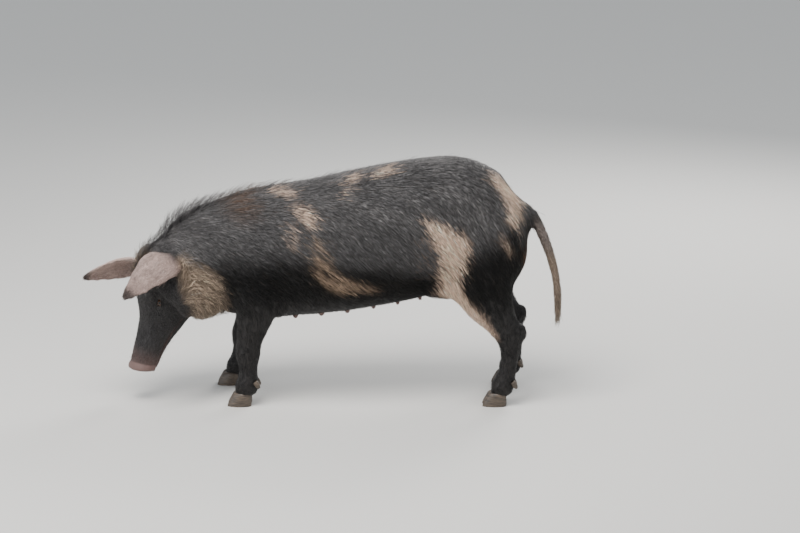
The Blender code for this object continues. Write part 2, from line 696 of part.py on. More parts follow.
def lock(name, tree, start, aim, lie, length, width, rise, curl):
    # A flat lock with a ridge: its root in the skin, bent along the skin, its tip tapering to a point
    spot, normal, _, _ = tree.ray_cast(start, aim)
    if spot is None:
        return None
    way = (lie - normal * lie.dot(normal)).normalized()
    place = spot
    rings = []
    done = 0.0
    aside = normal.cross(way)
    root = spot - normal * LOCK_SINK - way * 0.12 * length
    rings.append((root, aside, normal, 0.62))
    for share, wide, high in LOCK_SHAPE + ((1.0, 0.0, LOCK_TIP),):
        place, normal, _, _ = tree.find_nearest(place + way * (share - done) * length)
        way = (way - normal * way.dot(normal)).normalized()
        way = Matrix.Rotation(curl * (share - done), 3, normal) @ way
        aside = normal.cross(way)
        rings.append((place + normal * rise * high, aside, normal, wide))
        done = share
    bm = bmesh.new()
    loops = []
    for centre, aside, normal, wide in rings[:-1]:
        half = aside * width * wide / 2
        ridge = normal * width * LOCK_RIDGE * wide
        loops.append([bm.verts.new(point) for point in (centre - half, centre + ridge, centre + half)])
    for loop, following in zip(loops, loops[1:]):
        for k in range(3):
            n = (k + 1) % 3
            bm.faces.new((loop[k], loop[n], following[n]))
            bm.faces.new((loop[k], following[n], following[k]))
    tip = bm.verts.new(rings[-1][0])
    for k in range(3):
        bm.faces.new((loops[-1][k], loops[-1][(k + 1) % 3], tip))
    bm.faces.new(loops[0])
    bmesh.ops.recalc_face_normals(bm, faces=bm.faces)
    return new_object(name, bm)


def free_of(piece, cells, trees):
    # Whether a lock keeps clear of the other parts' cells and surfaces
    own = tree_of(piece)
    for vert in piece.data.vertices:
        for planes in cells:
            depths = [(vert.co - Vector(point)).dot(Vector(way).normalized()) for point, way in planes]
            if max(depths) < LOCK_CLEAR:
                return False
        for tree, clear in trees:
            if tree.find_nearest(vert.co)[3] < clear:
                return False
    return not any(own.overlap(tree) for tree, _ in trees)


def locks_on(part, rows, cells, trees, side=None, frame=None, seed=1):
    # Makes rows of locks on a part and joins them to it in one union. A lock that would touch another
    # part is made shorter, and left out where even half its length would
    draw = random.Random(seed)
    tree = tree_of(part)
    turn, origin = frame or (Matrix.Identity(3), Vector((0, 0, 0)))
    gathered = bpy.data.collections.new("locks_" + part.name)
    bpy.context.scene.collection.children.link(gathered)
    for first, last, aim, count, length, width, rise, lie, curl, both in rows:
        hands = (-1, 1) if both else (side or 1,)
        for hand in hands:
            mirror = Matrix.Diagonal((1, hand, 1))
            offset = draw.uniform(0.2, 0.8)
            for k in range(count):
                share = (k + offset + draw.uniform(-0.28, 0.28)) / count
                start = Vector(first).lerp(Vector(last), share)
                start += Vector([draw.uniform(-STRAY, STRAY) * (1 - abs(part_aim)) for part_aim in aim])
                bent = Vector(lie) + Vector([draw.uniform(-TOSS, TOSS) for _ in range(3)])
                size = draw.uniform(0.82, 1.16)
                for shorter in (1.0, 0.75, 0.5):
                    piece = lock(
                        "lock", tree, origin + turn @ (mirror @ start), turn @ (mirror @ Vector(aim)),
                        turn @ (mirror @ bent), length * size * shorter, width * draw.uniform(0.85, 1.15),
                        rise * size * shorter, curl * hand * draw.uniform(0.4, 1.4),
                    )
                    if piece is None:
                        break
                    if free_of(piece, cells, trees):
                        bpy.context.scene.collection.objects.unlink(piece)
                        gathered.objects.link(piece)
                        break
                    bpy.data.objects.remove(piece)
    return fuse(part, gathered)


def fuse(part, gathered):
    grow = part.modifiers.new("grow", "BOOLEAN")
    grow.operation = "UNION"
    grow.solver = "MANIFOLD"
    grow.operand_type = "COLLECTION"
    grow.collection = gathered
    apply_modifiers(part)
    for piece in list(gathered.objects):
        bpy.data.objects.remove(piece)
    bpy.data.collections.remove(gathered)
    return keep_largest(part)


def tail_locks(tail):
    # The tuft: locks round the last stretch of the tail, all hanging down
    tree = tree_of(tail)
    draw = random.Random(9)
    gathered = bpy.data.collections.new("locks_tail")
    bpy.context.scene.collection.children.link(gathered)
    length, width, rise = TAIL_LOCK
    top, foot = Vector(TAIL[-2][:3]), Vector(TAIL[-1][:3])
    for k in range(TAIL_LOCKS):
        angle = 2 * math.pi * (k * 0.382)
        out = Vector((math.cos(angle), math.sin(angle), 0.0))
        axis = top.lerp(foot, k / TAIL_LOCKS)
        piece = lock(
            "lock", tree, axis + out * 0.05, -out, foot - top, length * draw.uniform(0.75, 1.1),
            width, rise * draw.uniform(0.7, 1.3), draw.uniform(-0.5, 0.5),
        )
        if piece:
            bpy.context.scene.collection.objects.unlink(piece)
            gathered.objects.link(piece)
    return fuse(tail, gathered)


def neck_part(body):
    neck = coarse("neck", body, NECK_LEVEL)
    boolean(neck, cell(front_planes()), "INTERSECT")
    boolean(neck, cell(head_planes(), GAP))
    return keep_largest(neck)


def torso_part(body):
    torso = coarse("torso", body, TORSO_LEVEL)
    boolean(torso, cell(front_planes(), GAP))
    for _, side in SIDES:
        boolean(torso, cell(leg_planes(True, side), GAP))
        boolean(torso, cell(leg_planes(False, side), GAP))
    return keep_largest(torso)


def leg_part(body, name, side):
    leg = coarse(name, body, LEG_LEVEL)
    boolean(leg, cell(leg_planes(name.startswith("fore"), side)), "INTERSECT")
    boolean(leg, cell(coronet_plane(name), GAP))
    return keep_largest(leg)


def thigh_part(leg, name):
    # What of the hind leg lies above its hock, taken off the leg
    thigh = copied(name, leg)
    boolean(thigh, cell([HOCK], GAP))
    boolean(leg, cell([HOCK]), "INTERSECT")
    keep_largest(leg)
    return keep_largest(thigh)


def claw(name, leg_name, side, apart):
    # One half of the cloven hoof: flat sole, blunt toe, and its inner wall next to its fellow
    centre_x = foot_x(leg_name)
    centre_y = side * LEG_OUT + apart * CLAW_APART
    rings = []
    for height, toe, heel, half, shift in CLAW:
        ring = []
        for k in range(8):
            angle = 2 * math.pi * (k + 0.5) / 8
            c, s = math.cos(angle), math.sin(angle)
            x = (toe if c > 0 else heel) * abs(c) ** 0.85
            narrow = 1 - 0.42 * max(c, 0.0)
            y = half * math.copysign(abs(s) ** 0.7, s) * narrow
            # the inner wall is flatter than the outer one
            if y * apart < 0:
                y *= 0.92
            ring.append(Vector((centre_x + x, centre_y + y + apart * shift, height)))
        rings.append(ring)
    horn = closed_over(name, rings)
    boolean(horn, cell(coronet_plane(leg_name)), "INTERSECT")
    return keep_largest(horn)


def dew_claw(name, leg, leg_name, side, apart):
    tree = tree_of(leg)
    start_y = side * LEG_OUT + apart * DEW_APART
    behind = Vector((foot_x(leg_name) + 0.2, start_y, DEW_HEIGHT))
    spot = tree.ray_cast(behind, Vector((-1, 0, 0)))[0]
    run = DEW_RUN.normalized()
    rows = [(*(spot + run * (along - DEW_SINK)), radius, radius * 0.8) for along, radius in DEW_CLAW]
    horn = loft(name, rows, Vector((0, 1, 0)), points=6, fullness=1.0)
    return seat(horn, leg)


def feet(leg, leg_name, side):
    parts = []
    for word, apart in (("inner", -side), ("outer", side)):
        parts.append(claw("claw_" + leg_name + "_" + word, leg_name, side, apart))
        parts.append(dew_claw("dewclaw_" + leg_name + "_" + word, leg, leg_name, side, apart))
    return parts


def tail_part(torso):
    rows = [(x, y, z, radius, radius) for x, y, z, radius in smooth_rows(TAIL + TAIL_TUFT, 2)]
    tail = loft("tail", rows, Vector((0, 1, 0)), points=8, fullness=1.0)
    return seat(tail, torso)


def finish(obj, kind):
    material = bpy.data.materials.new(obj.name)
    material.use_nodes = True
    shader = material.node_tree.nodes["Principled BSDF"]
    shader.inputs["Base Color"].default_value = (*COATS[kind], 1.0)
    shader.inputs["Roughness"].default_value = ROUGHNESS.get(kind, COAT_ROUGHNESS)
    shader.inputs["Metallic"].default_value = 0.0
    obj.data.materials.clear()
    obj.data.materials.append(material)
    obj.data.shade_smooth()
    obj.data.set_sharp_from_angle(angle=math.radians(50))


def main():
    clear_scene()
    body = fused_body()
    torso = torso_part(body)
    neck = neck_part(body)
    head, eyes = head_part(body)
    parts = [torso, neck, head] + eyes
    kinds = ["torso", "neck", "head", "eye", "eye"]
    ears = []
    for word, side in SIDES:
        ear = seat(ear_part(word), head)
        ears.append(seat(ear, neck))
        parts.append(ear)
        kinds.append("ear")
        for leg_name in ("foreleg_" + word, "hindleg_" + word):
            leg = leg_part(body, leg_name, side)
            horns = feet(leg, leg_name, side)
            fore = leg_name.startswith("fore")
            # what a leg's locks keep out of: all that isn't its own cell
            outside = [[(point, -Vector(way))] for point, way in leg_planes(fore, side)]
            if fore:
                locks_on(leg, FORE_ROWS, outside, [], side=side, seed=len(parts))
            else:
                thigh = thigh_part(leg, "thigh_" + word)
                locks_on(thigh, HIND_ROWS, outside + [[HOCK]], [], side=side, seed=len(parts))
                parts.append(thigh)
                kinds.append("leg")
            parts += [leg] + horns
            kinds += ["leg"] + ["claw"] * len(horns)
    tail = tail_part(torso)
    parts.append(tail)
    kinds.append("tail")
    ear_trees = [(tree_of(ear), LOCK_CLEAR) for ear in ears]
    leg_cells = [leg_planes(fore, side) for fore in (True, False) for _, side in SIDES]
    behind = [[(SHOULDER_POINT, SHOULDER_NORMAL)]]
    locks_on(torso, TORSO_ROWS, leg_cells + [front_planes()], [(tree_of(tail), TAIL_ROOM)], seed=3)
    locks_on(neck, NECK_ROWS, behind + [head_planes()], ear_trees, seed=5)
    beyond_head = [[(point, -Vector(way))] for point, way in head_planes()]
    locks_on(head, HEAD_ROWS, beyond_head, ear_trees, frame=(head_turn(), POLL), seed=7)
    tail_locks(tail)
    for part, kind in zip(parts, kinds):
        finish(part, kind)
    bpy.data.objects.remove(body)
    frame = bpy.data.objects.new("pig", None)
    bpy.context.scene.collection.objects.link(frame)
    frame.location = (SHIFT_X, SHIFT_Y, 0.0)
    for part in parts:
        part.parent = frame


if __name__ == "__main__":
    main()
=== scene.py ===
# The looks of a life-size Turopolje pig: one skin, a coat of solid tufts, claws and eyes.
# Metres, +Z up. The pig faces -X and its left side is towards -Y.
import math

import bmesh
import bpy
import numpy as np
from mathutils import Matrix, Vector
from mathutils.bvhtree import BVHTree
from mathutils.kdtree import KDTree


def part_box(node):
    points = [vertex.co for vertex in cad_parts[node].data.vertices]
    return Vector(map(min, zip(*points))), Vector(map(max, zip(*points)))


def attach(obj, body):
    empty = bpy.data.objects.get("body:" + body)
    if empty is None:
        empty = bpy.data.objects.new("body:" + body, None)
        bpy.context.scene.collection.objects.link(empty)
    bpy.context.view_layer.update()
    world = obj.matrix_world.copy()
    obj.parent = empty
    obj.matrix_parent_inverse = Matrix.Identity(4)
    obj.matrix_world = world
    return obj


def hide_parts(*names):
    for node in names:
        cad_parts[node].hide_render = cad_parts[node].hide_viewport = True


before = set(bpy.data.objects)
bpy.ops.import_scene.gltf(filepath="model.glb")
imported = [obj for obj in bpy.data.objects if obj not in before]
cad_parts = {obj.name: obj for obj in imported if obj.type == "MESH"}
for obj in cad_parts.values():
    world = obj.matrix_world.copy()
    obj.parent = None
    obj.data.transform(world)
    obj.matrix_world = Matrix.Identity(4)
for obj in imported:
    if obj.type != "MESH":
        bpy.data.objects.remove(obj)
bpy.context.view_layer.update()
print("frame loaded")

pig = {
    "place": (-0.0065, 0.0080, 0.0),      # from the tables below to the frame's own origin
    "sides": (("left", -1), ("right", 1)),
    "seed": 11,
}

body = {
    "grain": 0.0030,         # voxel at which the masses are fused
    "relax": 40,             # rounds of smoothing after that
    "soften": 90,            # further rounds on trunk, neck and poll
    "inset": 0.0030,         # how deep the skin lies under the coat on the trunk
    "insetHead": 0.0010,
    "keep": 0.25,            # share of faces kept, the head and feet keep theirs
    "ring": 48,
    "spans": 5,
    # x, back, belly, half width, sideways bend
    "trunk": (
        (0.570, 0.500, 0.440, 0.028, 0.0),
        (0.552, 0.543, 0.385, 0.070, 0.0),
        (0.516, 0.581, 0.345, 0.110, 0.0),
        (0.466, 0.622, 0.316, 0.142, 0.0),
        (0.400, 0.651, 0.300, 0.160, 0.0),
        (0.320, 0.659, 0.290, 0.166, 0.0),
        (0.220, 0.648, 0.268, 0.172, 0.0),
        (0.100, 0.624, 0.248, 0.174, 0.0),
        (-0.020, 0.597, 0.236, 0.168, 0.0),
        (-0.120, 0.581, 0.228, 0.158, 0.0),
        (-0.220, 0.563, 0.234, 0.147, -0.004),
        (-0.290, 0.530, 0.250, 0.136, -0.012),
    ),
    # centre x, y, z, half width, half depth
    "neck": (
        (-0.200, 0.000, 0.402, 0.142, 0.156),
        (-0.290, -0.012, 0.384, 0.136, 0.146),
        (-0.350, -0.026, 0.350, 0.126, 0.130),
        (-0.400, -0.040, 0.322, 0.112, 0.112),
        (-0.430, -0.050, 0.295, 0.098, 0.094),
    ),
    # muscle and bone of each side: centre and radii
    "muscles": {
        "shoulder": ((-0.165, 0.088, 0.395), (0.105, 0.072, 0.145)),
        "ham": ((0.436, 0.085, 0.435), (0.118, 0.078, 0.135)),
        "elbow": ((-0.112, 0.103, 0.282), (0.034, 0.022, 0.040)),
        "flankFold": ((0.335, 0.106, 0.338), (0.100, 0.026, 0.046)),
    },
    "teats": (-0.06, 0.01, 0.08, 0.15, 0.215, 0.275),
    "teatOut": 0.052,
    "teatSize": (0.0062, 0.0062, 0.0110),
}

head = {
    "poll": (-0.478, -0.055, 0.404),
    "pitch": 78.0,           # degrees that it points down
    "yaw": 30.0,             # degrees that it turns to the pig's left
    # distance from the poll, forehead line, jaw line, half width
    "sections": (
        (-0.030, -0.022, -0.175, 0.070),
        (0.000, -0.004, -0.195, 0.084),
        (0.045, 0.002, -0.205, 0.092),
        (0.090, -0.004, -0.195, 0.086),
        (0.130, -0.018, -0.170, 0.075),
        (0.170, -0.030, -0.146, 0.062),
        (0.210, -0.033, -0.124, 0.052),
        (0.250, -0.030, -0.107, 0.045),
        (0.290, -0.026, -0.096, 0.041),
        (0.303, -0.026, -0.093, 0.039),
    ),
    "muscles": {
        "jowl": ((0.055, -0.135, 0.062), (0.075, 0.050, 0.068)),
        "brow": ((0.080, -0.024, 0.046), (0.036, 0.026, 0.020)),
        "cheek": ((0.128, -0.078, 0.046), (0.040, 0.022, 0.026)),
        "earRoot": ((0.014, -0.046, 0.062), (0.036, 0.026, 0.030)),
    },
    "chin": ((0.240, -0.094), (0.045, 0.027, 0.018)),
}

snout = {
    "rings": ((0.276, 0.80), (0.288, 0.90), (0.2935, 0.98), (0.298, 1.01), (0.3045, 1.01), (0.3078, 0.975),
              (0.3090, 0.92), (0.3092, 0.84), (0.3091, 0.75), (0.3089, 0.66), (0.3086, 0.57), (0.3083, 0.48),
              (0.3080, 0.39), (0.3078, 0.30), (0.3076, 0.21), (0.3075, 0.12), (0.30745, 0.05)),
    "lean": 0.10,
    "centre": -0.057,
    "halfWidth": 0.0420,
    "halfDepth": 0.0345,
    "nostrilAside": 0.0165,
    "nostril": (0.0064, 0.0092),     # half width, half height
    "nostrilDepth": 0.016,
    "tip": 0.308,
}

legs = {
    "ring": 32,
    # x, y outwards, z, half width, half depth along the body
    "fore": (
        (-0.165, 0.070, 0.460, 0.055, 0.085),
        (-0.170, 0.092, 0.390, 0.058, 0.092),
        (-0.172, 0.104, 0.320, 0.054, 0.078),
        (-0.172, 0.108, 0.270, 0.045, 0.058),
        (-0.184, 0.107, 0.220, 0.036, 0.043),
        (-0.196, 0.105, 0.175, 0.030, 0.034),
        (-0.202, 0.104, 0.142, 0.0305, 0.0335),
        (-0.203, 0.103, 0.100, 0.0235, 0.0245),
        (-0.206, 0.103, 0.066, 0.0280, 0.0290),
        (-0.211, 0.103, 0.050, 0.0305, 0.0320),
        (-0.216, 0.103, 0.036, 0.0265, 0.0265),
        (-0.217, 0.103, 0.022, 0.0200, 0.0190),
    ),
    "hind": (
        (0.425, 0.070, 0.500, 0.070, 0.115),
        (0.430, 0.092, 0.420, 0.068, 0.122),
        (0.432, 0.106, 0.345, 0.058, 0.096),
        (0.452, 0.110, 0.285, 0.044, 0.068),
        (0.486, 0.108, 0.232, 0.033, 0.045),
        (0.508, 0.105, 0.190, 0.029, 0.037),
        (0.512, 0.103, 0.145, 0.0240, 0.0270),
        (0.507, 0.103, 0.100, 0.0225, 0.0245),
        (0.499, 0.103, 0.066, 0.0275, 0.0280),
        (0.493, 0.103, 0.050, 0.0300, 0.0315),
        (0.488, 0.103, 0.036, 0.0260, 0.0260),
        (0.486, 0.103, 0.022, 0.0195, 0.0190),
    ),
    "step": {"foreleft": 0.012, "foreright": -0.030, "hindleft": -0.006, "hindright": 0.026},
    "stepFrom": 0.300,
    "hock": ((0.540, 0.104, 0.202), (0.018, 0.013, 0.028)),
    "hockLean": 0.35,
}

ear = {
    # root, crown of the arch, tip, way across at the root, way across at the tip, hand
    "left": ((-0.382, -0.112, 0.418), (-0.432, -0.178, 0.402), (-0.514, -0.184, 0.317),
             (0.87, -0.44, -0.22), (0.46, -0.56, -0.69), 1),
    "right": ((-0.486, 0.026, 0.370), (-0.560, -0.008, 0.366), (-0.636, -0.050, 0.338),
              (0.20, 0.82, -0.52), (-0.12, 0.72, -0.69), -1),
    # share of the length, width along the curve, bend of that curve
    "width": (
        (0.00, 0.092, 2.9), (0.14, 0.104, 2.3), (0.32, 0.112, 1.75), (0.55, 0.102, 1.35),
        (0.76, 0.075, 1.15), (0.92, 0.043, 1.0), (1.00, 0.014, 0.8),
    ),
    "across": 26,
    "along": 44,
    "half": 0.0021,          # half the thickness of the leaf
    "wave": 0.0011,
    # where the root runs to inside the head: distance from the poll, height, aside
    "anchor": (0.016, -0.085, 0.040),
    "sunk": 0.22,            # share of the rows that run from there to the root
}

tail = {
    # x, y, z, radius
    "run": (
        (0.522, 0.000, 0.520, 0.028), (0.550, -0.003, 0.510, 0.0215), (0.576, -0.008, 0.486, 0.0158),
        (0.598, -0.020, 0.446, 0.0124), (0.617, -0.037, 0.395, 0.0110), (0.630, -0.055, 0.345, 0.0100),
        (0.635, -0.068, 0.300, 0.0088), (0.636, -0.073, 0.270, 0.0072), (0.636, -0.075, 0.250, 0.0052),
    ),
    "ring": 22,
}


def unit(values):
    return values / np.maximum(np.linalg.norm(values, axis=-1, keepdims=True), 1e-9)


def ramp(low, high, value):
    t = np.clip((value - low) / (high - low), 0.0, 1.0)
    return t * t * (3 - 2 * t)


def ripple(points, size, seed):
    # a smooth uneven field of about -1 to 1, with features of that size
    draw = np.random.default_rng(seed)
    total = np.zeros(len(points))
    for _ in range(9):
        way = draw.normal(size=3)
        way *= 2 * math.pi / (size * draw.uniform(1.3, 2.8) * np.linalg.norm(way))
        total += np.sin(points @ way + draw.uniform(0, 6.28))
    return total / 4.2


def smoothRows(rows, steps):
    # rows on a smooth curve through the table's rows
    table = np.array(rows, float)
    out = []
    last = len(table) - 1
    for i in range(last):
        a, b = table[max(i - 1, 0)], table[i]
        c, d = table[i + 1], table[min(i + 2, last)]
        for k in range(steps):
            t = k / steps
            out.append(0.5 * (2 * b + (c - a) * t + (2 * a - 5 * b + 4 * c - d) * t * t
                              + (3 * b - a - 3 * c + d) * t ** 3))
    return out + [table[last]]


def meshObject(name, bm):
    mesh = bpy.data.meshes.new(name)
    bm.to_mesh(mesh)
    bm.free()
    obj = bpy.data.objects.new(name, mesh)
    bpy.context.scene.collection.objects.link(obj)
    return obj


def applied(obj):
    graph = bpy.context.evaluated_depsgraph_get()
    mesh = bpy.data.meshes.new_from_object(obj.evaluated_get(graph))
    obj.modifiers.clear()
    obj.data = mesh
    return obj


def ringLoft(bm, rows, sideways, points, fullness, upright=False):
    # oval rings along a run, bridged and closed at both ends
    centres = [Vector(row[:3]) for row in rows]
    sideways = Vector(sideways)
    loops = []
    for i, row in enumerate(rows):
        run = centres[min(i + 1, len(rows) - 1)] - centres[max(i - 1, 0)]
        if upright:
            run.z = run.y = 0.0
        run.normalize()
        across = (sideways - run * run.dot(sideways)).normalized()
        deep = run.cross(across)
        made = bmesh.ops.create_circle(bm, segments=points, radius=1.0, cap_ends=i in (0, len(rows) - 1))
        for vert in made["verts"]:
            c = math.copysign(abs(vert.co.x) ** fullness, vert.co.x)
            s = math.copysign(abs(vert.co.y) ** fullness, vert.co.y)
            vert.co = centres[i] + across * row[3] * c + deep * row[4] * s
        verts = set(made["verts"])
        loops.append([edge for edge in {e for v in verts for e in v.link_edges} if set(edge.verts) <= verts])
    for loop, following in zip(loops, loops[1:]):
        bmesh.ops.bridge_loops(bm, edges=loop + following)
    bmesh.ops.recalc_face_normals(bm, faces=bm.faces)


def ball(bm, centre, radii, turn=None, segments=28):
    made = bmesh.ops.create_uvsphere(bm, u_segments=segments, v_segments=segments // 2, radius=1.0)
    place = Matrix.Translation(centre) @ (turn or Matrix.Identity(3)).to_4x4() @ Matrix.Diagonal((*radii, 1.0))
    bmesh.ops.transform(bm, matrix=place, verts=made["verts"])


pitch, yaw = math.radians(head["pitch"]), math.radians(head["yaw"])
poll = Vector(head["poll"])
headForward = Vector((-math.cos(pitch) * math.cos(yaw), -math.cos(pitch) * math.sin(yaw), -math.sin(pitch)))
headUp = Vector((-math.sin(pitch) * math.cos(yaw), -math.sin(pitch) * math.sin(yaw), math.cos(pitch)))
headLeft = headUp.cross(headForward)
headTurn = Matrix((headForward, headLeft, headUp)).transposed()


def headPoint(forward, up, left=0.0):
    return poll + headForward * forward + headUp * up + headLeft * left


def headWays(points):
    # distance from the poll, left and height in the head's own frame
    return (points - np.array(poll)) @ np.array(headTurn)


def legRows(kind, word, side):
    rows = legs[kind]
    step = legs["step"][kind + word]
    placed = []
    for x, y, z, across, along in rows:
        lean = step * min(1.0, max(0.0, legs["stepFrom"] - z) / (legs["stepFrom"] - rows[-1][2]))
        placed.append((x + lean, side * y, z, across, along))
    return placed


def bodyMasses():
    bm = bmesh.new()
    rows = [(x, bend, (top + low) / 2, half, (top - low) / 2) for x, top, low, half, bend in body["trunk"]]
    ringLoft(bm, smoothRows(rows, body["spans"]), (0, 1, 0), body["ring"], 0.88, upright=True)
    ringLoft(bm, smoothRows(body["neck"], body["spans"]), (0, 1, 0), body["ring"], 0.90)
    rows = [(*headPoint(f, (up + low) / 2), half, (up - low) / 2) for f, up, low, half in head["sections"]]
    ringLoft(bm, smoothRows(rows, body["spans"]), headLeft, body["ring"], 0.86)
    for word, side in pig["sides"]:
        for kind in ("fore", "hind"):
            ringLoft(bm, smoothRows(legRows(kind, word, side), body["spans"]), (0, 1, 0), legs["ring"], 0.95)
        for (forward, up, out), radii in head["muscles"].values():
            ball(bm, headPoint(forward, up, -side * out), radii, headTurn)
        for (x, out, z), radii in body["muscles"].values():
            ball(bm, (x, side * out, z), radii)
        (x, out, z), radii = legs["hock"]
        ball(bm, (x + legs["step"]["hind" + word] * legs["hockLean"], side * out, z), radii)
    ball(bm, headPoint(*head["chin"][0]), head["chin"][1], headTurn)
    return bm


def addSnoutDisc(bm):
    rows = []
    for forward, scale in snout["rings"]:
        rows.append((*headPoint(forward, snout["centre"]), snout["halfWidth"] * scale, snout["halfDepth"] * scale))
    first = len(bm.verts)
    ringLoft(bm, rows, headLeft, 56, 1.0)
    bm.verts.ensure_lookup_table()
    for vert in bm.verts[first:]:
        up = (vert.co - poll).dot(headUp) - snout["centre"]
        vert.co += headForward * snout["lean"] * up


def fusedBody():
    obj = meshObject("body", bodyMasses())
    fuse = obj.modifiers.new("fuse", "REMESH")
    fuse.mode = "VOXEL"
    fuse.voxel_size = body["grain"]
    relax = obj.modifiers.new("relax", "SMOOTH")
    relax.factor = 0.5
    relax.iterations = body["relax"]
    applied(obj)
    print("masses fused:", len(obj.data.polygons), "faces")
    # small hard forms come after the smoothing of the large ones
    bm = bmesh.new()
    addSnoutDisc(bm)
    for x in body["teats"]:
        for word, side in pig["sides"]:
            low = np.interp(x, [row[0] for row in body["trunk"][::-1]], [row[2] for row in body["trunk"][::-1]])
            ball(bm, (x + 0.008 * side, side * body["teatOut"], low + 0.0075), body["teatSize"], segments=14)
    return obj, meshObject("small", bm)


def points(mesh):
    out = np.empty(len(mesh.vertices) * 3)
    mesh.vertices.foreach_get("co", out)
    return out.reshape(-1, 3)


def normals(mesh):
    out = np.empty(len(mesh.vertices) * 3)
    mesh.vertex_normals.foreach_get("vector", out)
    return out.reshape(-1, 3)


def weighted(obj, name, values):
    # a vertex group whose weights go in steps of a quarter
    group = obj.vertex_groups.new(name=name)
    for level in range(0, 5):
        group.add([int(i) for i in np.nonzero(np.round(values * 4) == level)[0]], level / 4, "REPLACE")


def setPoints(mesh, places):
    mesh.vertices.foreach_set("co", np.asarray(places, dtype=np.float64).ravel())
    mesh.update()


skin, small = fusedBody()
where = points(skin.data)
f = headWays(where)[:, 0]
soft = ramp(0.24, 0.31, where[:, 2]) * ramp(0.10, 0.02, np.where(where[:, 0] < -0.36, f, 0))
weighted(skin, "soft", soft)
relax = skin.modifiers.new("soften", "SMOOTH")
relax.factor = 0.5
relax.iterations = body["soften"]
relax.vertex_group = "soft"
applied(skin)

where = points(skin.data)
inHead = ramp(-0.05, 0.06, headWays(where)[:, 0])
depth = body["inset"] * (1 - inHead) + body["insetHead"] * inHead
setPoints(skin.data, where - normals(skin.data) * depth[:, None])
fine = np.maximum(ramp(-0.27, -0.33, where[:, 0]), ramp(0.16, 0.10, where[:, 2]))
weighted(skin, "thin", 1 - fine)
less = skin.modifiers.new("less", "DECIMATE")
less.ratio = body["keep"]
less.vertex_group = "thin"
applied(skin)


def bow(root, crown, tip, share):
    through = crown * 2 - (root + tip) * 0.5
    return root * (1 - share) ** 2 + through * 2 * share * (1 - share) + tip * share ** 2


def earPlace(word, u, share):
    # middle of the leaf at u across (-1 to 1) and share along, and the way out of its arched side
    if share < 0:
        # below the root the cup narrows into the head
        first, out = earPlace(word, u, 0.0)
        side = dict(pig["sides"])[word]
        forward, up, aside = ear["anchor"]
        anchor = headPoint(forward, up, -side * aside)
        root = Vector(ear[word][0])
        narrow = 1 - 0.45 * -share / ear["sunk"]
        return root + (first - root) * narrow + (anchor - root) * (-share / ear["sunk"]), out
    root, crown, tip = (Vector(value) for value in ear[word][:3])
    rootWay, tipWay, hand = Vector(ear[word][3]), Vector(ear[word][4]), ear[word][5]
    table = ear["width"]
    for low, high in zip(table, table[1:]):
        if share <= high[0]:
            t = (share - low[0]) / (high[0] - low[0])
            t = t * t * (3 - 2 * t)
            width, bend = low[1] + (high[1] - low[1]) * t, low[2] + (high[2] - low[2]) * t
            break
    ahead = bow(root, crown, tip, min(1.0, share + 0.01)) - bow(root, crown, tip, max(0.0, share - 0.01))
    ahead.normalize()
    edge = rootWay.lerp(tipWay, min(1.0, share * 2))
    across = (edge - ahead * ahead.dot(edge)).normalized()
    top = ahead.cross(across) * hand
    radius = width / bend
    angle = u * bend / 2
    out = top * math.cos(angle) + across * math.sin(angle)
    place = bow(root, crown, tip, share) + across * radius * math.sin(angle)
    place += top * radius * (math.cos(angle) - 1)
    # soft folds that run out from the root, and a leaf that isn't quite flat
    fold = 0.0017 * math.cos(u * 8.5) * (1 - share) ** 2
    wave = ear["wave"] * math.sin(7.3 * share + 2.4 * u + hand) * math.sin(3.1 * u * u + 4 * share)
    return place + out * (fold + wave * min(1.0, share * 3)), out


def earLeaf(word):
    bm = bmesh.new()
    bmesh.ops.create_grid(bm, x_segments=ear["across"], y_segments=ear["along"], size=1.0)
    bmesh.ops.duplicate(bm, geom=bm.verts[:] + bm.edges[:] + bm.faces[:])
    count = len(bm.verts) // 2
    shares = []
    bm.verts.index_update()
    for i, vert in enumerate(bm.verts):
        u = vert.co.x
        share = (vert.co.y + 1) / 2 * (1 + ear["sunk"]) - ear["sunk"]
        middle, out = earPlace(word, u, share)
        half = ear["half"] * (1.12 - 0.35 * max(0.0, share)) * (1 - 0.30 * abs(u) ** 5)
        vert.co = middle + out * (half if i < count else -half)
        shares.append(share)
    rim = [edge for edge in bm.edges if edge.is_boundary]
    bmesh.ops.bridge_loops(bm, edges=rim)
    bmesh.ops.recalc_face_normals(bm, faces=bm.faces)
    outer = BVHTree.FromPolygons(
        [vert.co.copy() for vert in bm.verts],
        [[vert.index for vert in face.verts] for face in bm.faces
         if min(shares[vert.index] for vert in face.verts) > 0.0])
    return meshObject("ear", bm), outer


def tailRope():
    bm = bmesh.new()
    rows = [(*row[:4], row[3]) for row in smoothRows(tail["run"], 6)]
    ringLoft(bm, rows, (0, 1, 0), tail["ring"], 1.0)
    for i, vert in enumerate(bm.verts):
        # the skin of the tail lies in shallow rings
        ring = i // tail["ring"]
        middle = Vector(rows[ring][:3])
        vert.co = middle + (vert.co - middle) * (1 + 0.010 * math.sin(ring * 2.1))
    bmesh.ops.recalc_face_normals(bm, faces=bm.faces)
    return meshObject("tail", bm)


def treeOf(obj):
    bm = bmesh.new()
    bm.from_mesh(obj.data)
    tree = BVHTree.FromBMesh(bm)
    bm.free()
    return tree


def distances(tree, places, reach):
    return np.array([tree.find_nearest(place, reach)[3] or reach for place in places])


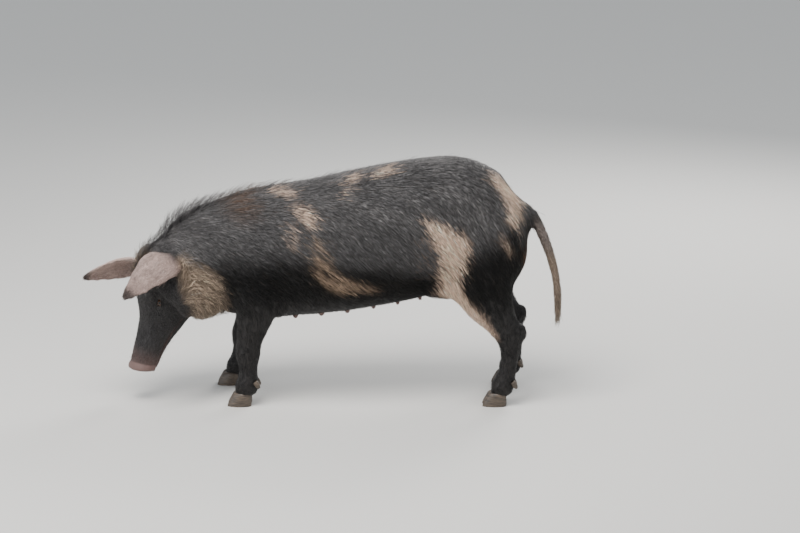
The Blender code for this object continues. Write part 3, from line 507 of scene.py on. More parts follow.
def grownOn(obj, pieces, rings, rounds):
    # joins closed pieces to the skin and softens the line where they meet
    for piece in pieces:
        before, own = treeOf(obj), treeOf(piece)
        join = obj.modifiers.new("join", "BOOLEAN")
        join.operation = "UNION"
        join.solver = "MANIFOLD"
        join.object = piece
        applied(obj)
        places = points(obj.data)
        close = np.nonzero(distances(own, places, 0.001) < 0.0002)[0]
        close = close[distances(before, places[close], 0.001) < 0.0002]
        bm = bmesh.new()
        bm.from_mesh(obj.data)
        bm.verts.ensure_lookup_table()
        seam = {bm.verts[i] for i in close.tolist()}
        for _ in range(rings):
            seam |= {edge.other_vert(vert) for vert in list(seam) for edge in vert.link_edges}
        seam = sorted(seam, key=lambda vert: vert.index)
        for _ in range(rounds):
            bmesh.ops.smooth_vert(bm, verts=seam, factor=0.5, use_axis_x=True, use_axis_y=True, use_axis_z=True)
        bm.to_mesh(obj.data)
        bm.free()
        bpy.data.objects.remove(piece)


ears, earTrees = {}, {}
for word, _ in pig["sides"]:
    ears[word], earTrees[word] = earLeaf(word)
rope = tailRope()
tailTree = treeOf(rope)
grownOn(skin, [small], 1, 4)
grownOn(skin, [ears["left"], ears["right"]], 2, 8)
grownOn(skin, [rope], 4, 24)
print("skin joined:", len(skin.data.polygons), "faces")


eye = {
    "radius": 0.0118,
    "halfLength": 0.0112,    # of the opening between the lids
    "upperLid": 0.0056,
    "lowerLid": 0.0042,
    "lid": 0.0015,           # thickness of a lid over the ball
    "slope": 0.16,           # the outer corner stands lower
    "zone": 0.034,
}

mouth = {
    # corner of the mouth forwards: distance from the poll, height
    "line": ((0.158, -0.120), (0.178, -0.111), (0.205, -0.099), (0.235, -0.091), (0.262, -0.087),
             (0.290, -0.0855), (0.320, -0.0855)),
    "groove": 0.0040,
    "lip": 0.0024,
}


def refined(obj, inside, cuts=1):
    # splits the edges in the places that the function picks, so that small forms have enough faces
    bm = bmesh.new()
    bm.from_mesh(obj.data)
    places = np.array([vert.co for vert in bm.verts])
    marks = inside(places)
    bm.verts.ensure_lookup_table()
    chosen = [edge for edge in bm.edges if marks[edge.verts[0].index] and marks[edge.verts[1].index]]
    bmesh.ops.subdivide_edges(bm, edges=chosen, cuts=cuts, use_grid_fill=True)
    bmesh.ops.triangulate(bm, faces=[face for face in bm.faces if len(face.verts) > 4])
    bm.to_mesh(obj.data)
    bm.free()


def lineDistance(places, path):
    # distance in a plane to a path, and on which side of it
    best = np.full(len(places), 9.0)
    side = np.zeros(len(places))
    along = np.zeros(len(places))
    path = np.array(path)
    for i, (a, b) in enumerate(zip(path, path[1:])):
        run = b - a
        t = np.clip(((places - a) @ run) / (run @ run), 0, 1)
        off = places - (a + t[:, None] * run)
        dist = np.linalg.norm(off, axis=1)
        nearer = dist < best
        best[nearer] = dist[nearer]
        side[nearer] = np.sign(run[0] * off[:, 1] - run[1] * off[:, 0])[nearer]
        along[nearer] = (i + t)[nearer]
    return best, side, along


def eyeCentre(word):
    low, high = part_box("eye_" + word)
    return (low + high) / 2 - Vector(pig["place"])


def eyeFrame(word, side):
    # centre of the ball, way out of the head, way to the snout, way to the brow
    centre = eyeCentre(word)
    aside = headLeft * -side
    spot, normal, _, _ = skinTree.ray_cast(centre + aside * 0.2, -aside)
    out = (normal + aside * 0.6).normalized()
    ahead = (headForward - out * headForward.dot(out)).normalized()
    brow = out.cross(ahead)
    if brow.dot(headUp) < 0:
        brow = -brow
    return centre, out, ahead, brow


skinTree = treeOf(skin)
eyeFrames = {word: eyeFrame(word, side) for word, side in pig["sides"]}


def nearEyes(reach):
    def inside(places):
        marks = np.zeros(len(places), bool)
        for centre, _, _, _ in eyeFrames.values():
            marks |= np.linalg.norm(places - np.array(centre), axis=1) < reach
        return marks
    return inside


def nearSnout(places):
    f, _, u = headWays(places).T
    line = lineDistance(np.stack([f, u], axis=1), mouth["line"])[0]
    inHead = (f > 0.12) & (places[:, 0] < -0.40)
    return inHead & ((f > 0.268) | (line < 0.008))


def nearNostrils(places):
    f, l, u = headWays(places).T
    inside = (np.abs(u - snout["centre"]) < 0.016) & (np.abs(l) < 0.030) & (f > 0.3)
    line = lineDistance(np.stack([f, u], axis=1), mouth["line"])[0]
    return (places[:, 0] < -0.40) & (inside | ((line < 0.0055) & (f > 0.15)))


refined(skin, nearEyes(eye["zone"]))
refined(skin, nearEyes(0.021))
refined(skin, nearSnout)
refined(skin, nearNostrils)


def nostrilWays(places, hand):
    # 1 at the edge of the oval opening
    _, l, u = headWays(places).T
    a = (l - hand * (snout["nostrilAside"] + 0.12 * (u - snout["centre"]))) / snout["nostril"][0]
    b = (u - snout["centre"] - 0.001) / snout["nostril"][1]
    return np.sqrt(a * a + b * b), a, b


def nearOpenings(places):
    f = headWays(places)[:, 0]
    near = np.minimum(nostrilWays(places, 1)[0], nostrilWays(places, -1)[0])
    return (places[:, 0] < -0.40) & (f > 0.3) & (near < 1.35)


refined(skin, nearOpenings)


def relaxed(obj, marks, rounds):
    bm = bmesh.new()
    bm.from_mesh(obj.data)
    bm.verts.ensure_lookup_table()
    chosen = [bm.verts[i] for i in np.nonzero(marks)[0].tolist()]
    for _ in range(rounds):
        bmesh.ops.smooth_vert(bm, verts=chosen, factor=0.5, use_axis_x=True, use_axis_y=True, use_axis_z=True)
    bm.to_mesh(obj.data)
    bm.free()


def behindDisc(places):
    f = headWays(places)[:, 0]
    return (places[:, 0] < -0.40) & (f > 0.272) & (f < 0.297)


relaxed(skin, behindDisc(points(skin.data)), 14)


def snapped(a, b, half, low):
    # points just inside the eye's opening slide to its rim, so that the lids end in a clean line
    q = np.sqrt((np.abs(a) / eye["halfLength"]) ** 1.7 + (np.abs(b) / half) ** 2)
    scale = np.where((q > low) & (q < 1.0), 1.0 / np.maximum(q, 0.2) ** 1.02, 1.0)
    return a * scale, b * scale


def shapeEyes(places):
    for centre, out, ahead, brow in eyeFrames.values():
        off = places - np.array(centre)
        h = off @ np.array(out)
        a = off @ np.array(ahead)
        b = off @ np.array(brow) + eye["slope"] * a
        r = np.sqrt(a * a + b * b)
        near = (r < 0.034) * ramp(0.022, 0.013, np.abs(h))
        half = np.where(b > 0, eye["upperLid"], eye["lowerLid"])
        newA, newB = snapped(a, b, half, 0.90)
        slide = np.outer(newA - a, np.array(ahead)) + np.outer(newB - b - eye["slope"] * (newA - a), np.array(brow))
        places = places + slide * near[:, None]
        a, b = newA, newB
        r = np.sqrt(a * a + b * b)
        ballTop = np.sqrt(np.maximum(eye["radius"] ** 2 - r * r, 0))
        q = np.sqrt((np.abs(a) / eye["halfLength"]) ** 1.7 + (np.abs(b) / half) ** 2)
        # the lids lie over the ball and run down beside it into the face, with a rolled rim and folds
        over = eye["radius"] + eye["lid"]
        turn = 0.80 * over
        cover = np.where(r < turn, np.sqrt(np.maximum(over ** 2 - r * r, 0)), 0.6 * over - 1.33 * (r - turn))
        cover = cover + 0.0007 * np.exp(-((q - 1.12) / 0.12) ** 2)
        level = h + 0.0020 * np.exp(-(r / 0.018) ** 2)
        gap = level - cover
        raised = 0.5 * (level + cover + np.sqrt(gap * gap + 0.0016 ** 2))
        fold = -0.0019 * np.exp(-((q - 2.05) / 0.15) ** 2) * (b > 0)
        fold += -0.0013 * np.exp(-((q - 1.85) / 0.15) ** 2) * (b <= 0)
        fold += -0.0011 * np.exp(-((q - 2.80) / 0.16) ** 2) - 0.0008 * np.exp(-((q - 3.6) / 0.18) ** 2)
        raised = h + (raised - h + fold) * ramp(0.034, 0.020, r)
        target = np.where(q < 0.985, np.minimum(raised, ballTop - 0.0030), raised)
        moved = near * (target - h)
        places = places + np.outer(moved, np.array(out))
    return places


def shapeSnout(places, out):
    f, l, u = headWays(places).T
    ours = (places[:, 0] < -0.40) & (f > 0.12)
    forward, left, up = np.array(headForward), np.array(headLeft), np.array(headUp)
    dist, above, along = lineDistance(np.stack([f, u], axis=1), mouth["line"])
    fade = ramp(0.0, 0.8, along) * ours
    push = -mouth["groove"] * np.exp(-(dist / 0.0020) ** 2)
    push += mouth["lip"] * np.exp(-((dist - 0.0056) / 0.0028) ** 2) * np.where(above > 0, 1.0, 0.6)
    # transverse folds on the bridge of the snout and behind the corner of the mouth
    top = ramp(-0.075, -0.045, u) * ramp(0.185, 0.225, f) * ramp(0.292, 0.282, f)
    folds = np.sin(2 * math.pi * (f + 0.10 * np.abs(l)) / 0.0105 + 0.8 * np.sin(l * 80) + 60 * f)
    push2 = 0.00032 * folds * top * ramp(0.225, 0.285, f)
    corner = np.exp(-(((f - 0.150) / 0.012) ** 2 + ((u + 0.122) / 0.016) ** 2))
    push2 += 0.0010 * corner * np.cos((f - 0.150) * 2 * math.pi / 0.008)
    places = places + out * ((push * fade + push2 * ours)[:, None])
    # points just inside a nostril slide to its edge, which makes a clean line
    for hand in (-1, 1):
        q, _, _ = nostrilWays(places, hand)
        inside = (q > 0.86) & (q < 1.0) & ours & (f > 0.30)
        mid = snout["centre"] + 0.001
        slide = np.where(inside, 1 / np.maximum(q, 0.5) - 1, 0.0)
        offLeft = l - hand * (snout["nostrilAside"] + 0.12 * (u - snout["centre"]))
        places = places + np.outer(offLeft * slide, left) + np.outer((u - mid) * slide, up)
    f, l, u = headWays(places).T
    # the disc: a raised rim, a shallow middle with a groove above, and two oval nostrils
    lean = snout["lean"] * (u - snout["centre"])
    front = ours * ramp(snout["tip"] - 0.0045, snout["tip"] - 0.0010, f - lean)
    dl, du = l / snout["halfWidth"], (u - snout["centre"]) / snout["halfDepth"]
    rho = np.sqrt(dl * dl + du * du)
    rim = 0.0014 * np.exp(-((rho - 0.84) / 0.11) ** 2) - 0.0004 * np.exp(-(rho / 0.40) ** 2)
    rim -= 0.0013 * np.exp(-(l / 0.0035) ** 2) * ramp(0.05, 0.7, du)
    rim += 0.00025 * np.sin(u * 2 * math.pi / 0.0042 + 2.0 * np.sin(l * 150)) * ramp(0.9, 0.6, rho)
    for hand in (-1, 1):
        q, a, b = nostrilWays(places, hand)
        hole = ramp(0.985, 0.60, q) ** 0.8
        rim = rim - snout["nostrilDepth"] * hole + 0.0013 * np.exp(-((q - 1.28) / 0.20) ** 2)
    return places + np.outer(rim * front, forward)


def shapeSkin(places, out):
    # soft unevenness of flesh, and rings above the claws
    wide = 0.0016 * ripple(places, 0.16, 3) * ramp(-0.30, -0.1, places[:, 0])
    fine = 0.00028 * ripple(places, 0.014, 5) + 0.00045 * ripple(places, 0.045, 7)
    push = wide + fine
    x, y, z = places.T
    flank = np.exp(-((x - 0.232) / 0.030) ** 2 - ((z - 0.400) / 0.042) ** 2)
    elbow = np.exp(-((x + 0.072) / 0.026) ** 2 - ((z - 0.345) / 0.055) ** 2)
    push += 0.0024 * flank * np.sin((x + 0.12 * z + 0.004 * np.sin(z * 60)) * 2 * math.pi / 0.021)
    push += 0.0020 * elbow * np.sin((x + 0.30 * z) * 2 * math.pi / 0.024)
    ring = ramp(0.075, 0.068, places[:, 2]) * ramp(0.030, 0.040, places[:, 2])
    push += 0.0003 * np.sin(places[:, 2] * 2 * math.pi / 0.009) * ring
    return places + out * push[:, None]


places, out = points(skin.data), normals(skin.data)
leafOrTail = np.zeros(len(places))
for tree in list(earTrees.values()) + [tailTree]:
    leafOrTail = np.maximum(leafOrTail, ramp(0.010, 0.001, distances(tree, places, 0.010)))
shaped = shapeSkin(places, out)
places = places + (shaped - places) * (1 - leafOrTail)[:, None]
places = shapeSnout(places, out)
places = np.where(leafOrTail[:, None] > 0.02, places, shapeEyes(places))
setPoints(skin.data, places)
skin.data.shade_smooth()
skin.data.calc_loop_triangles()
print("skin shaped:", len(skin.data.loop_triangles), "triangles")


tones = {
    "charcoal": (0.096, 0.092, 0.093),
    "black": (0.0045, 0.0042, 0.0042),
    # grey: painted sheen of the wet upper coat
    "grey": (0.215, 0.205, 0.203),
    "fawn": (0.46, 0.325, 0.225),
    "tan": (0.82, 0.60, 0.46),
    "ruff": (0.248, 0.190, 0.140),
    "brown": (0.125, 0.078, 0.055),
    # painted light: hair at the rear edge of the thigh glowing orange-brown as if lit from behind
    "rust": (0.30, 0.15, 0.075),
    "ear": (0.440, 0.330, 0.295),
    "earPale": (0.600, 0.480, 0.440),
    "tail": (0.215, 0.165, 0.125),
    "tailDark": (0.185, 0.155, 0.140),
    "disc": (0.150, 0.095, 0.085),
    "underDark": (0.034, 0.030, 0.029),
    "underPale": (0.46, 0.32, 0.26),
}

# patches of the coat seen from the side: tone, strength, softness, then x, z, radius
patches = {
    "left": (
        ("brown", 0.50, 0.030, ((-0.225, 0.550, 0.036), (-0.195, 0.545, 0.036))),
        ("tan", 0.80, 0.007, ((-0.120, 0.574, 0.005), (-0.078, 0.571, 0.005))),
        ("tan", 0.84, 0.010, ((-0.058, 0.543, 0.007), (-0.046, 0.532, 0.013), (-0.030, 0.519, 0.019))),
        ("tan", 0.40, 0.012, ((-0.068, 0.492, 0.008), (-0.074, 0.450, 0.009))),
        ("fawn", 0.58, 0.011, ((-0.006, 0.465, 0.008), (0.000, 0.425, 0.018), (0.006, 0.390, 0.026),
                               (0.028, 0.358, 0.027), (0.078, 0.338, 0.020), (0.138, 0.333, 0.010))),
        ("tan", 0.90, 0.005, ((0.100, 0.622, 0.004), (0.078, 0.600, 0.005), (0.062, 0.572, 0.003))),
        ("tan", 0.90, 0.005, ((0.190, 0.640, 0.004), (0.158, 0.622, 0.005))),
        ("tan", 1.00, 0.012, ((0.284, 0.515, 0.008), (0.318, 0.484, 0.027), (0.352, 0.450, 0.040),
                              (0.352, 0.410, 0.036), (0.341, 0.370, 0.026), (0.343, 0.325, 0.024),
                              (0.378, 0.285, 0.019), (0.430, 0.235, 0.014), (0.462, 0.190, 0.009))),
        ("tan", 1.00, 0.009, ((0.463, 0.612, 0.009), (0.506, 0.572, 0.021), (0.516, 0.545, 0.022),
                              (0.512, 0.504, 0.010))),
        ("tan", 0.30, 0.012, ((0.483, 0.470, 0.007), (0.505, 0.430, 0.008))),
        ("ruff", 1.00, 0.016, ((-0.356, 0.394, 0.022), (-0.332, 0.362, 0.044), (-0.310, 0.322, 0.056),
                               (-0.300, 0.285, 0.056), (-0.312, 0.250, 0.035))),
        # painted backlight along the rear edge of the left thigh
        ("rust", 0.30, 0.020, ((0.560, 0.420, 0.016), (0.562, 0.360, 0.020), (0.548, 0.300, 0.014))),
    ),
    "right": (
        ("tan", 0.95, 0.010, ((0.120, 0.585, 0.016), (0.085, 0.548, 0.030), (0.068, 0.505, 0.014))),
        ("tan", 1.00, 0.012, ((0.300, 0.500, 0.022), (0.345, 0.452, 0.044), (0.352, 0.385, 0.034),
                              (0.362, 0.320, 0.020), (0.420, 0.245, 0.012))),
        ("tan", 1.00, 0.011, ((-0.060, 0.420, 0.026), (-0.020, 0.370, 0.030), (0.030, 0.345, 0.014))),
        ("tan", 0.90, 0.010, ((0.480, 0.560, 0.014), (0.512, 0.520, 0.022))),
        ("ruff", 0.90, 0.020, ((-0.340, 0.385, 0.034), (-0.300, 0.345, 0.046))),
        ("brown", 0.60, 0.030, ((-0.180, 0.540, 0.040), (-0.130, 0.520, 0.030))),
    ),
}

coat = {
    "sag": 0.0016,           # how deep a root sits in the skin
    "fleece": 190000,        # triangles in one piece
}

jawLine = np.array([(row[0], row[2]) for row in head["sections"]])


def partShares(places):
    # how much each place belongs to head, ear, tail and legs, and how far along an ear or the tail it lies
    x, y, z = places.T
    f, l, u = headWays(places).T
    jaw = np.interp(f, jawLine[:, 0], jawLine[:, 1])
    share = {"f": f, "l": l, "u": u}
    share["head"] = ramp(-0.035, 0.030, f) * ramp(-0.035, -0.012, u - jaw) * (x < -0.34)
    share["leg"] = ramp(0.345, 0.245, z) * (x > -0.36)
    share["ear"], share["earAlong"] = np.zeros(len(x)), np.zeros(len(x))
    share["earSide"] = np.zeros(len(x))
    front = np.nonzero(x < -0.34)[0]
    for word, side in pig["sides"]:
        near = ramp(0.0045, 0.0015, distances(earTrees[word], places[front], 0.006))
        root, tip = Vector(ear[word][0]), Vector(ear[word][2])
        run = np.array(tip - root)
        along = np.clip((places[front] - np.array(root)) @ run / (run @ run), -0.2, 1.0)
        near *= ramp(-0.16, 0.02, along)
        better = near > share["ear"][front]
        share["ear"][front[better]] = near[better]
        share["earAlong"][front[better]] = along[better]
        share["earSide"][front[better]] = side
    share["tail"], share["tailAlong"] = np.zeros(len(x)), np.zeros(len(x))
    back = np.nonzero(x > 0.545)[0]
    share["tail"][back] = ramp(0.005, 0.0015, distances(tailTree, places[back], 0.006)) * ramp(0.545, 0.575, x[back])
    share["tailAlong"][back] = np.clip((0.535 - z[back]) / 0.285, 0, 1)
    return share


fallRun = np.array((-0.60, -0.35, -0.15, 0.10, 0.30, 0.45, 0.56, 0.66))
fallRate = np.array((0.75, 0.75, 0.62, 0.95, 1.05, 1.7, 2.6, 2.6))
fallSteps = np.linspace(fallRun[0], fallRun[-1], 400)
fallSum = np.concatenate([[0.0], np.cumsum(np.interp(fallSteps, fallRun, fallRate)[:-1] * np.diff(fallSteps))])


def teatShare(places):
    x, y, z = places.T
    found = np.zeros(len(x))
    for teatX in body["teats"]:
        for _, side in pig["sides"]:
            gap = np.hypot(x - (teatX + 0.008 * side), y - side * body["teatOut"])
            found = np.maximum(found, ramp(0.012, 0.008, gap) * (z < 0.30))
    return found


def strandWays(places, out, share):
    # three numbers at each place: the first changes along the hair, the others only across it
    x, y, z = places.T
    f, l, u = share["f"], share["l"], share["u"]
    side = 1 - np.clip(np.abs(out[:, 2]) * 1.15 - 0.1, 0, 1) ** 2
    ways = np.stack([x, y, z + np.interp(x, fallSteps, fallSum) * side], axis=1)
    face = np.stack([f, l, u], axis=1)
    cheek = np.stack([0.5 * f + 0.9 * u, l, 0.9 * f - 0.5 * u], axis=1)
    ways = np.where((share["head"] > 0.5)[:, None], np.where(((u < -0.078) & (f < 0.16))[:, None], cheek, face), ways)
    upright = (share["leg"] > 0.5) | (share["tail"] > 0.5)
    ways = np.where(upright[:, None], np.stack([z, x, y], axis=1), ways)
    for word, sideOf in pig["sides"]:
        run = (Vector(ear[word][2]) - Vector(ear[word][0])).normalized()
        first = run.orthogonal().normalized()
        turned = places @ np.array((run, first, run.cross(first))).T
        ways = np.where(((share["ear"] > 0.5) & (share["earSide"] == sideOf))[:, None], turned, ways)
    return ways


def coatTones(places, out, share, blur=None):
    # colour of the hair and of the skin under it; blur moves the edges of the patches along the hair
    looked = places if blur is None else places + blur
    tone = {name: np.array(value) for name, value in tones.items()}
    count = len(places)
    x, y, z = looked.T
    uneven = ripple(looked, 0.11, 21)
    strand = strandWays(looked, out, share) * (1 / 0.12, 1 / 0.010, 1 / 0.010)
    streaks = ripple(strand, 1.0, 35) + 0.6 * ripple(strand * (1.0, 2.3, 2.3), 1.0, 37)
    # below a line along the flank the coat goes near black: wet hair and painted shade of the underside; the head is
    # painted half way to black, as shade of the face under the ears
    line = np.interp(x, (-0.36, -0.30, -0.20, -0.10, 0.05, 0.30, 0.42, 0.50),
                     (0.375, 0.400, 0.425, 0.420, 0.385, 0.375, 0.440, 0.495))
    dark = ramp(0.035, -0.035, z - line + 0.018 * uneven + 0.010 * streaks) * (0.97 - 0.14 * share["leg"])
    dark = np.maximum(dark * (1 - share["head"]), share["head"] * 0.50)
    hair = tone["charcoal"] * (1 - dark[:, None]) + tone["black"] * dark[:, None]
    # painted sheen: the upper coat and the nape are lightened towards grey in streaks, as wet hair catching the sky;
    # none on the head
    streak = np.sin(looked @ np.array((38.0, 9.0, 64.0)) + 2.6 * ripple(looked, 0.05, 23) + 2.0 * uneven)
    paintedSheen = ramp(-0.2, 1.0, streak * 0.5 + streaks * 0.6) * ramp(0.40, 0.56, z + 0.15 * ramp(-0.26, -0.38, x))
    paintedSheen = paintedSheen * 0.60 * (1 - share["head"])
    hair = hair * (1 - paintedSheen[:, None]) + tone["grey"] * paintedSheen[:, None]
    under = np.tile(tone["underDark"], (count, 1))
    warp = 0.0070 * ripple(looked, 0.045, 31) + 0.0035 * ripple(looked, 0.014, 33) + 0.0080 * streaks
    flat = np.stack([x, z], axis=1)
    for word, side in pig["sides"]:
        onSide = ramp(-0.012, 0.020, side * y) * (1 - share["head"] * (np.abs(share["l"]) < 0.05))
        for name, strength, soft, path in patches[word]:
            rows = np.array(path)
            if len(rows) == 1:
                rows = np.vstack([rows, rows + (1e-4, 0, 0)])
            dist, _, along = lineDistance(flat, rows[:, :2])
            radius = np.interp(along, range(len(rows)), rows[:, 2])
            rough = warp * np.clip(radius / 0.028, 0.3, 1.0)
            mask = ramp(soft, -soft, dist - radius + rough) * onSide
            mask = mask * np.clip(strength + (1 - strength) * 1.2 * streaks, 0, 1)
            mask = mask[:, None]
            # in the ruff the hair goes lighter and darker in streaks, painted shade between the curls; under the tan
            # and fawn patches the skin is pale, under the others it stays half dark, which in the ruff is painted shade
            # in the gaps between the curls
            own = tone[name] * np.exp(0.45 * np.clip(streaks, -1.5, 1.5))[:, None] if name == "ruff" \
                else tone[name]
            hair = hair * (1 - mask) + own * mask
            under = under * (1 - mask) + tone["underPale"] * mask * (1.0 if name in ("tan", "fawn") else 0.5) \
                + tone["underDark"] * mask * (0.0 if name in ("tan", "fawn") else 0.5)
    # face: a pale forelock, lighter lips and muzzle
    f, l, u = share["f"], share["l"], share["u"]
    lock = ramp(0.024, 0.008, np.abs(l + 0.006 * np.sin(f * 90)) + 0.5 * warp) * ramp(-0.015, 0.010, f)
    lock = (lock * ramp(0.105, 0.055, f) * ramp(-0.06, -0.035, u) * 0.8 * (x < -0.40))[:, None]
    hair = hair * (1 - lock) + tone["ruff"] * lock
    muzzle = (ramp(0.235, 0.290, f + 0.012 * uneven) * share["head"])[:, None]
    under = under * (1 - muzzle) + tone["disc"] * muzzle
    hair = hair * (1 - 0.5 * muzzle) + tone["disc"] * 0.5 * muzzle
    lips = lineDistance(np.stack([f, u], axis=1), mouth["line"])[0]
    lip = (ramp(0.0075, 0.0035, lips) * share["head"] * (f > 0.14))[:, None]
    under = under * (1 - lip) + tone["disc"] * 0.42 * lip
    # the mouth line itself is painted near black: painted shade in the slit between the lips
    mouthShade = (ramp(0.0016, 0.0006, lips) * share["head"] * (f > 0.14))[:, None]
    under = under * (1 - 0.85 * mouthShade)
    milk = teatShare(looked)[:, None]
    under = under * (1 - milk) + tone["disc"] * 0.9 * milk
    onEar = (share["ear"] * ramp(0.02, 0.20, share["earAlong"] + 0.05 * uneven))[:, None]
    # the ear goes near black towards its tip: a wet tip and painted shade of its curled end
    tip = ramp(0.80, 0.95, share["earAlong"] + 0.03 * uneven)[:, None]
    earTone = tone["ear"] * (1 - 0.85 * tip) + tone["black"] * 0.85 * tip
    pale = (ramp(-0.1, 0.9, ripple(looked, 0.075, 41)) * ramp(0.75, 0.45, share["earAlong"]))[:, None]
    earTone = earTone * (1 - pale) + tone["earPale"] * pale
    earTone = earTone * (1 + 0.16 * np.clip(streaks, -1, 1) + 0.30 * (share["earSide"] > 0))[:, None]
    hair = hair * (1 - onEar) + earTone * 1.05 * onEar
    under = under * (1 - onEar) + earTone * onEar
    upper = (share["tail"] * ramp(0.05, 0.25, share["tailAlong"]))[:, None]
    hair = hair * (1 - upper) + tone["tailDark"] * upper
    under = under * (1 - upper) + tone["tailDark"] * upper
    onTail = (share["tail"] * ramp(0.35, 0.55, share["tailAlong"] + 0.04 * uneven))[:, None]
    hair = hair * (1 - onTail) + tone["tail"] * onTail
    under = under * (1 - onTail) + tone["tail"] * onTail
    return np.clip(hair, 0, 1), np.clip(under, 0, 1)


def coatFields(places, out):
    # way, length, width, lift and tufts per square metre at each place
    share = partShares(places)
    x, y, z = places.T
    f, l, u = share["f"], share["l"], share["u"]
    count = len(x)
    forward, left, up = np.array(headForward), np.array(headLeft), np.array(headUp)
    fall = np.interp(x, fallRun, fallRate)
    side = 1 - np.clip(np.abs(out[:, 2]) * 1.15 - 0.1, 0, 1) ** 2
    way = np.stack([np.ones(count), 0.25 * np.sign(y) * (1 - side) * ramp(0, 0.06, np.abs(y)) * (out[:, 2] > 0), -fall * side], axis=1)
    leg = share["leg"][:, None]
    way = way * (1 - leg) + np.array((0.12, 0.0, -1.0)) * leg
    cheek = (ramp(-0.055, -0.100, u) * ramp(0.19, 0.13, f))[:, None]
    face = -forward + left * (np.sign(l) * 0.35 * ramp(0.0, 0.03, np.abs(l)))[:, None]
    face = face * (1 - cheek) + (-forward * 0.5 - up * 0.9) * cheek
    inHead = share["head"][:, None]
    way = way * (1 - inHead) + face * inHead
    for word, sideOf in pig["sides"]:
        mine = ((share["ear"] > 0.3) & (share["earSide"] == sideOf))[:, None]
        root, crown, tip = (np.array(value) for value in ear[word][:3])
        t = np.clip(share["earAlong"], 0, 1)[:, None]
        through = crown * 2 - (root + tip) * 0.5
        way = np.where(mine, (through - root) * (1 - t) + (tip - through) * t, way)
    onTail = (share["tail"] > 0.3)[:, None]
    run = np.array([row[:3] for row in tail["run"]])
    t = np.interp(z, run[::-1, 2], np.arange(len(run))[::-1])
    low = np.clip(t.astype(int), 0, len(run) - 2)
    way = np.where(onTail, run[low + 1] - run[low], way)
    way = unit(way)
    ending = np.sum(way * out, axis=1)
    turn = 0.14 * ripple(places, 0.13, 51) + 0.06 * ripple(places, 0.04, 53)
    turn *= 1 - 0.6 * share["head"]
    way = way - out * np.sum(way * out, axis=1)[:, None]
    way = unit(way)
    way = way * np.cos(turn)[:, None] + np.cross(out, way) * np.sin(turn)[:, None]

    lowLeg = ramp(0.20, 0.13, z) * share["leg"]
    length = 0.036 * (1 - share["leg"]) + 0.020 * share["leg"] - 0.009 * lowLeg
    length = np.where(x < -0.20, length - 0.006 * ramp(-0.20, -0.34, x), length)
    faceLength = np.interp(f, (-0.03, 0.04, 0.12, 0.20, 0.27, 0.30), (0.019, 0.015, 0.011, 0.0085, 0.006, 0.0035))
    faceLength += 0.006 * ramp(-0.10, -0.16, u) * ramp(0.20, 0.10, f)
    length = length * (1 - share["head"]) + faceLength * share["head"]
    width = np.clip(length * 0.038, 0.0008 - 0.0001 * lowLeg, 0.0014)
    width = np.where(share["head"] > 0.5, np.clip(length * 0.075, 0.0006, 0.0012), width)
    density = np.full(count, 84000.0)
    density = density * (1 - share["leg"]) + (60000 + 60000 * lowLeg) * share["leg"]
    density = density * (1 - share["head"]) + 185000 * share["head"]
    lift = np.full(count, 0.055) + 0.025 * ripple(places, 0.02, 57)
    onEar = share["ear"]
    length = length * (1 - onEar) + 0.0080 * onEar
    width = width * (1 - onEar) + 0.00055 * onEar
    density = density * (1 - onEar) + 150000 * onEar
    tails = share["tail"]
    tailLength = np.interp(share["tailAlong"], (0.1, 0.3, 0.7, 0.85, 1.0), (0.014, 0.010, 0.011, 0.026, 0.046))
    length = length * (1 - tails) + tailLength * tails
    width = width * (1 - tails) + 0.0009 * tails
    density = density * (1 - tails) + (90000 + 70000 * ramp(0.7, 0.9, share["tailAlong"])) * tails
    density = np.where(tails > 0.3, density * ramp(0.75, 0.50, ending), density)

    density *= ramp(0.0, 1.0, np.where((f > 0.2) & (x < -0.4), (0.2915 - f) / 0.004, 1.0))
    lips, _, along = lineDistance(np.stack([f, u], axis=1), mouth["line"])
    muzzle = (x < -0.40) & (f > 0.15)
    density *= np.where(muzzle & (lips < 0.0046), 0.0, 1.0)
    length = np.where(muzzle, np.minimum(length, 0.0030 + 0.28 * lips), length)
    for centre, outward, ahead, brow in eyeFrames.values():
        off = places - np.array(centre)
        a, b = off @ np.array(ahead), off @ np.array(brow)
        b = b + eye["slope"] * a
        near = (np.linalg.norm(off, axis=1) < 0.045)
        half = np.where(b > 0, eye["upperLid"], eye["lowerLid"])
        q = np.sqrt((np.abs(a) / eye["halfLength"]) ** 1.7 + (np.abs(b) / half) ** 2)
        density *= np.where(near & (q < 1.30), 0.0, 1.0)
        close = near * ramp(3.4, 1.4, q)
        length = length * (1 - close) + 0.0040 * close
        width = width * (1 - close) + 0.0006 * close
        density = density * (1 + 0.5 * close)
    density *= ramp(0.028, 0.040, z)
    density *= 1 - teatShare(places)
    return share, way, length, width, lift, density


def corners(mesh):
    mesh.calc_loop_triangles()
    count = len(mesh.loop_triangles)
    verts, loops = np.empty(count * 3, np.int32), np.empty(count * 3, np.int32)
    mesh.loop_triangles.foreach_get("vertices", verts)
    mesh.loop_triangles.foreach_get("loops", loops)
    return verts.reshape(-1, 3), loops.reshape(-1, 3)


